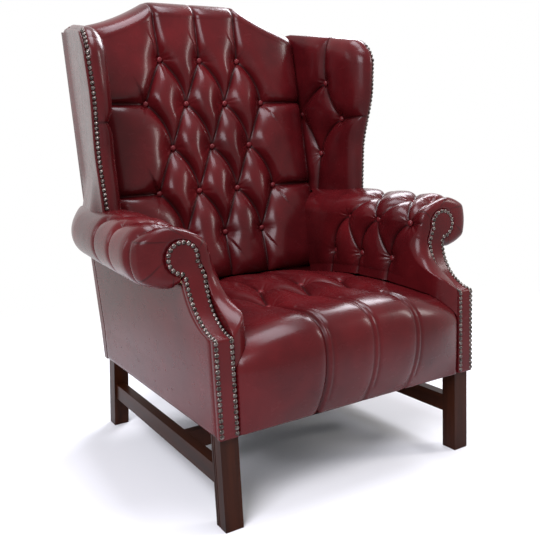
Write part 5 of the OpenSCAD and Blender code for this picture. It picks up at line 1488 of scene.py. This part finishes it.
# %% Cloth and steel finishes
def woven(name, light, dark, scale, roughness):
    f = Finish(name, Roughness=roughness)
    where = f.place()
    warp, weft = (f.node("ShaderNodeTexWave", {"bands_direction": way},
                         {"Vector": where, "Scale": scale, "Distortion": 0.6}, "Fac") for way in "XY")
    threads = warp * 0.5 + weft * 0.5
    f.set("Base Color", f.blend(threads, dark, light))
    f.bump(threads, 0.5, 0.001)
    return f.material


def matted(name, light, dark):
    f = Finish(name, Roughness=0.95)
    fibres = f.noise(f.place(), 130.0, 6.0, 0.7)
    f.set("Base Color", f.blend(fibres, dark, light))
    f.bump(fibres, 0.4, 0.002)
    return f.material


def drawn(name, light, dark):
    f = Finish(name, Metallic=1.0)
    streak = f.noise(f.place((1, 0.05, 1)), 190.0, 3.0)
    f.set("Base Color", f.blend(streak, dark, light))
    f.set("Roughness", 0.28 + streak * 0.2)
    return f.material


jute = woven("jute_weave", (0.50, 0.38, 0.23, 1), (0.24, 0.17, 0.09, 1), 120.0, 0.9)
lining = woven("black_lining", (0.035, 0.035, 0.038, 1), (0.012, 0.012, 0.013, 1), 260.0, 0.85)
felt = matted("needled_felt", (0.78, 0.75, 0.68, 1), (0.55, 0.52, 0.46, 1))
steel = drawn("drawn_steel", (0.62, 0.62, 0.63, 1), (0.34, 0.34, 0.35, 1))
print("inner finishes:", [inner.name for inner in (jute, lining, felt, steel)])

# %% [markdown]
# ## Finishes on the frame's own pieces
# The wood, springs and cloth of the frame keep their own meshes and only take a finish. A
# table names it by the first words of each piece's name, which is shorter than one line for
# every piece. The polished legs and stretchers also get a small bevel: a sharp edge in the
# render would never catch the light as sanded wood does.

# %% Dress the frame
FINISH_OF = {
    "front_leg": mahogany["upright"], "rear_leg": mahogany["upright"],
    "side_stretcher": mahogany["lengthwise"], "cross_stretcher": mahogany["crosswise"],
    "front_seat_rail": beech["crosswise"], "rear_seat_rail": beech["crosswise"],
    "crest_rail": beech["crosswise"], "lower_back_rail": beech["crosswise"],
    "corner_block": beech["crosswise"], "side_seat_rail": beech["lengthwise"],
    "arm_rail": beech["lengthwise"], "wing_top_rail": beech["lengthwise"],
    "back_post": beech["upright"], "arm_stump": beech["upright"], "wing_stile": beech["upright"],
    "corner_block_screws": steel, "seat_springs": steel, "spring_clips": steel,
    "seat_hessian": jute, "back_webbing": jute, "seat_padding": felt, "back_padding": felt,
    "dust_cover": lining}
EASED_EDGE, EDGE_ANGLE = 0.0012, math.radians(40)
shown = {name: node for name, node in nodes.items() if not node.hide_render}
for name, node in shown.items():
    stem = max((k for k in FINISH_OF if name.startswith(k)), key=len)
    node.data.materials.clear()
    node.data.materials.append(FINISH_OF[stem])
    if FINISH_OF[stem] in mahogany.values():
        bevel = node.modifiers.new("eased_edges", "BEVEL")
        bevel.width, bevel.segments = EASED_EDGE, 2
        bevel.limit_method, bevel.angle_limit = "ANGLE", EDGE_ANGLE
print("frame pieces with a finish:", len(shown))

# %% [markdown]
# ## The floor
# The chair stands on a sheet of pale paper. Far from the chair the paper glows white where
# the camera looks, so that it runs into the white background without a horizon. Near the
# chair it is plain paper and keeps the shadow. A curved backdrop would do too, but it would
# show its bend in other views.

# %% Floor
FLOOR_HALF, FLOOR_DROP, PAPER_TO, WHITE_FROM = 30, 0.0005, 0.75, 2.1
floor_mesh = bpy.data.meshes.new("studio_floor")
corners = [(x * FLOOR_HALF, y * FLOOR_HALF, 0) for x, y in ((-1, -1), (1, -1), (1, 1), (-1, 1))]
floor_mesh.from_pydata(corners, [], [(0, 1, 2, 3)])
floor = new_object("studio_floor", floor_mesh)
floor.location.z = -FLOOR_DROP
paper = Finish("floor_paper", Roughness=0.9, Specular_IOR_Level=0.1)
tint = paper.noise(paper.place(), 0.6, 2.0)
paper.set("Base Color", paper.blend(tint, (0.86, 0.86, 0.87, 1), (0.90, 0.90, 0.91, 1)))
spot = paper.node("ShaderNodeTexCoord", out="Object")
distance = paper.node("ShaderNodeVectorMath", {"operation": "LENGTH"}, {0: spot}, "Value")
far = paper.node("ShaderNodeMapRange", {"interpolation_type": "SMOOTHSTEP"},
                 {0: distance, 1: PAPER_TO, 2: WHITE_FROM})
glow = paper.node("ShaderNodeEmission", {}, {"Color": (1, 1, 1, 1), "Strength": 1.0})
plain = Wire(paper, paper.shader.outputs[0])
sheet = paper.node("ShaderNodeMixShader", {}, {0: far * paper.seen(), 1: plain, 2: glow})
paper.feed(paper.tree.nodes["Material Output"].inputs["Surface"], sheet)
floor_mesh.materials.append(paper.material)
print("floor of", 2 * FLOOR_HALF, "m, white beyond", WHITE_FROM, "m")

# %% [markdown]
# ## The white surroundings
# The world is white to the camera and to reflections, as a studio of white paper is. As a
# light it is much dimmer, because a world at full strength would wash out the leather and
# take the shadow from the floor.

# %% World
AMBIENT = 0.35
world = bpy.data.worlds.new("studio")
world.use_nodes = True
scene.world = world
sky = Sheet(world.node_tree)
sky.tree.nodes.clear()
ambient = sky.node("ShaderNodeBackground", {}, {"Color": (0.93, 0.96, 1.0, 1), "Strength": AMBIENT})
white = sky.node("ShaderNodeBackground", {}, {"Color": (1, 1, 1, 1), "Strength": 1.0})
choice = sky.node("ShaderNodeMixShader", {}, {0: sky.seen(), 1: ambient, 2: white})
sky.node("ShaderNodeOutputWorld", {}, {"Surface": choice})
print("world nodes:", len(sky.tree.nodes))

# %% [markdown]
# ## Lamps
# Large soft lamps above, to the left and behind make the broad highlights on the leather, and
# two narrow ones pick out the edges. Real softboxes are rectangles of cloth, and area lamps
# of the same size give the same long reflections. One bare lamp would give hard spots.

# %% Lamps
def softbox(name, place, aim, size, power, colour):
    lamp = bpy.data.lights.new(name, "AREA")
    lamp.shape, lamp.size, lamp.size_y = "RECTANGLE", size[0], size[1]
    lamp.energy, lamp.color = power, colour
    obj = new_object(name, lamp)
    obj.location = place
    obj.rotation_euler = (Vector(aim) - Vector(place)).to_track_quat("-Z", "Y").to_euler()


softbox("key_left", (-2.2, -1.9, 2.5), (0, 0, 0.6), (1.7, 1.5), 132, (0.93, 0.92, 1.0))
softbox("top", (0.1, -0.1, 3.0), (0, -0.1, 0.5), (1.8, 1.0), 84, (0.90, 0.91, 1.0))
softbox("back_right", (1.75, 1.35, 2.45), (0, -0.2, 0.45), (1.3, 0.9), 62, (0.92, 0.92, 1.0))
softbox("side_right", (2.6, -1.4, 1.9), (0, 0, 0.6), (0.5, 1.1), 34, (1.0, 0.96, 0.94))
softbox("rim_left", (-2.4, 1.6, 1.9), (0, 0.1, 0.7), (0.5, 1.3), 10, (0.90, 0.93, 1.0))

# %% [markdown]
# ## Camera
# The camera stands where the photograph was taken: a little above the arms, in front and to
# the left. Its place and angles come from matching the legs, facings and crest. A small shift
# sets the same framing without turning the camera, which would change the perspective.

# %% Camera
YAW, PITCH, ROLL = (math.radians(a) for a in (30.3, -10.4, -3.0))
CAMERA_AT = (-858.7, -1111.4, 734.7)
FOCAL_PIXELS, IMAGE_PIXELS, SENSOR = 679.3, 540, 36.0
FRAME_SHIFT = (0.0059, 0.0122)
forward = Vector((math.sin(YAW) * math.cos(PITCH), math.cos(YAW) * math.cos(PITCH), math.sin(PITCH)))
level = Vector((math.cos(YAW), -math.sin(YAW), 0))
upright = level.cross(forward)
sideways = level * math.cos(ROLL) + upright * math.sin(ROLL)
headway = upright * math.cos(ROLL) - level * math.sin(ROLL)
lens = bpy.data.cameras.new("camera")
lens.sensor_width, lens.lens = SENSOR, FOCAL_PIXELS / IMAGE_PIXELS * SENSOR
lens.shift_x, lens.shift_y = FRAME_SHIFT
camera = new_object("camera", lens)
turned = Matrix((sideways, headway, -forward)).transposed()
camera.matrix_world = Matrix.Translation(to_frame(CAMERA_AT)) @ turned.to_4x4()
scene.camera = camera
print("camera at", [round(c, 3) for c in camera.location], "lens", round(lens.lens, 2), "mm")
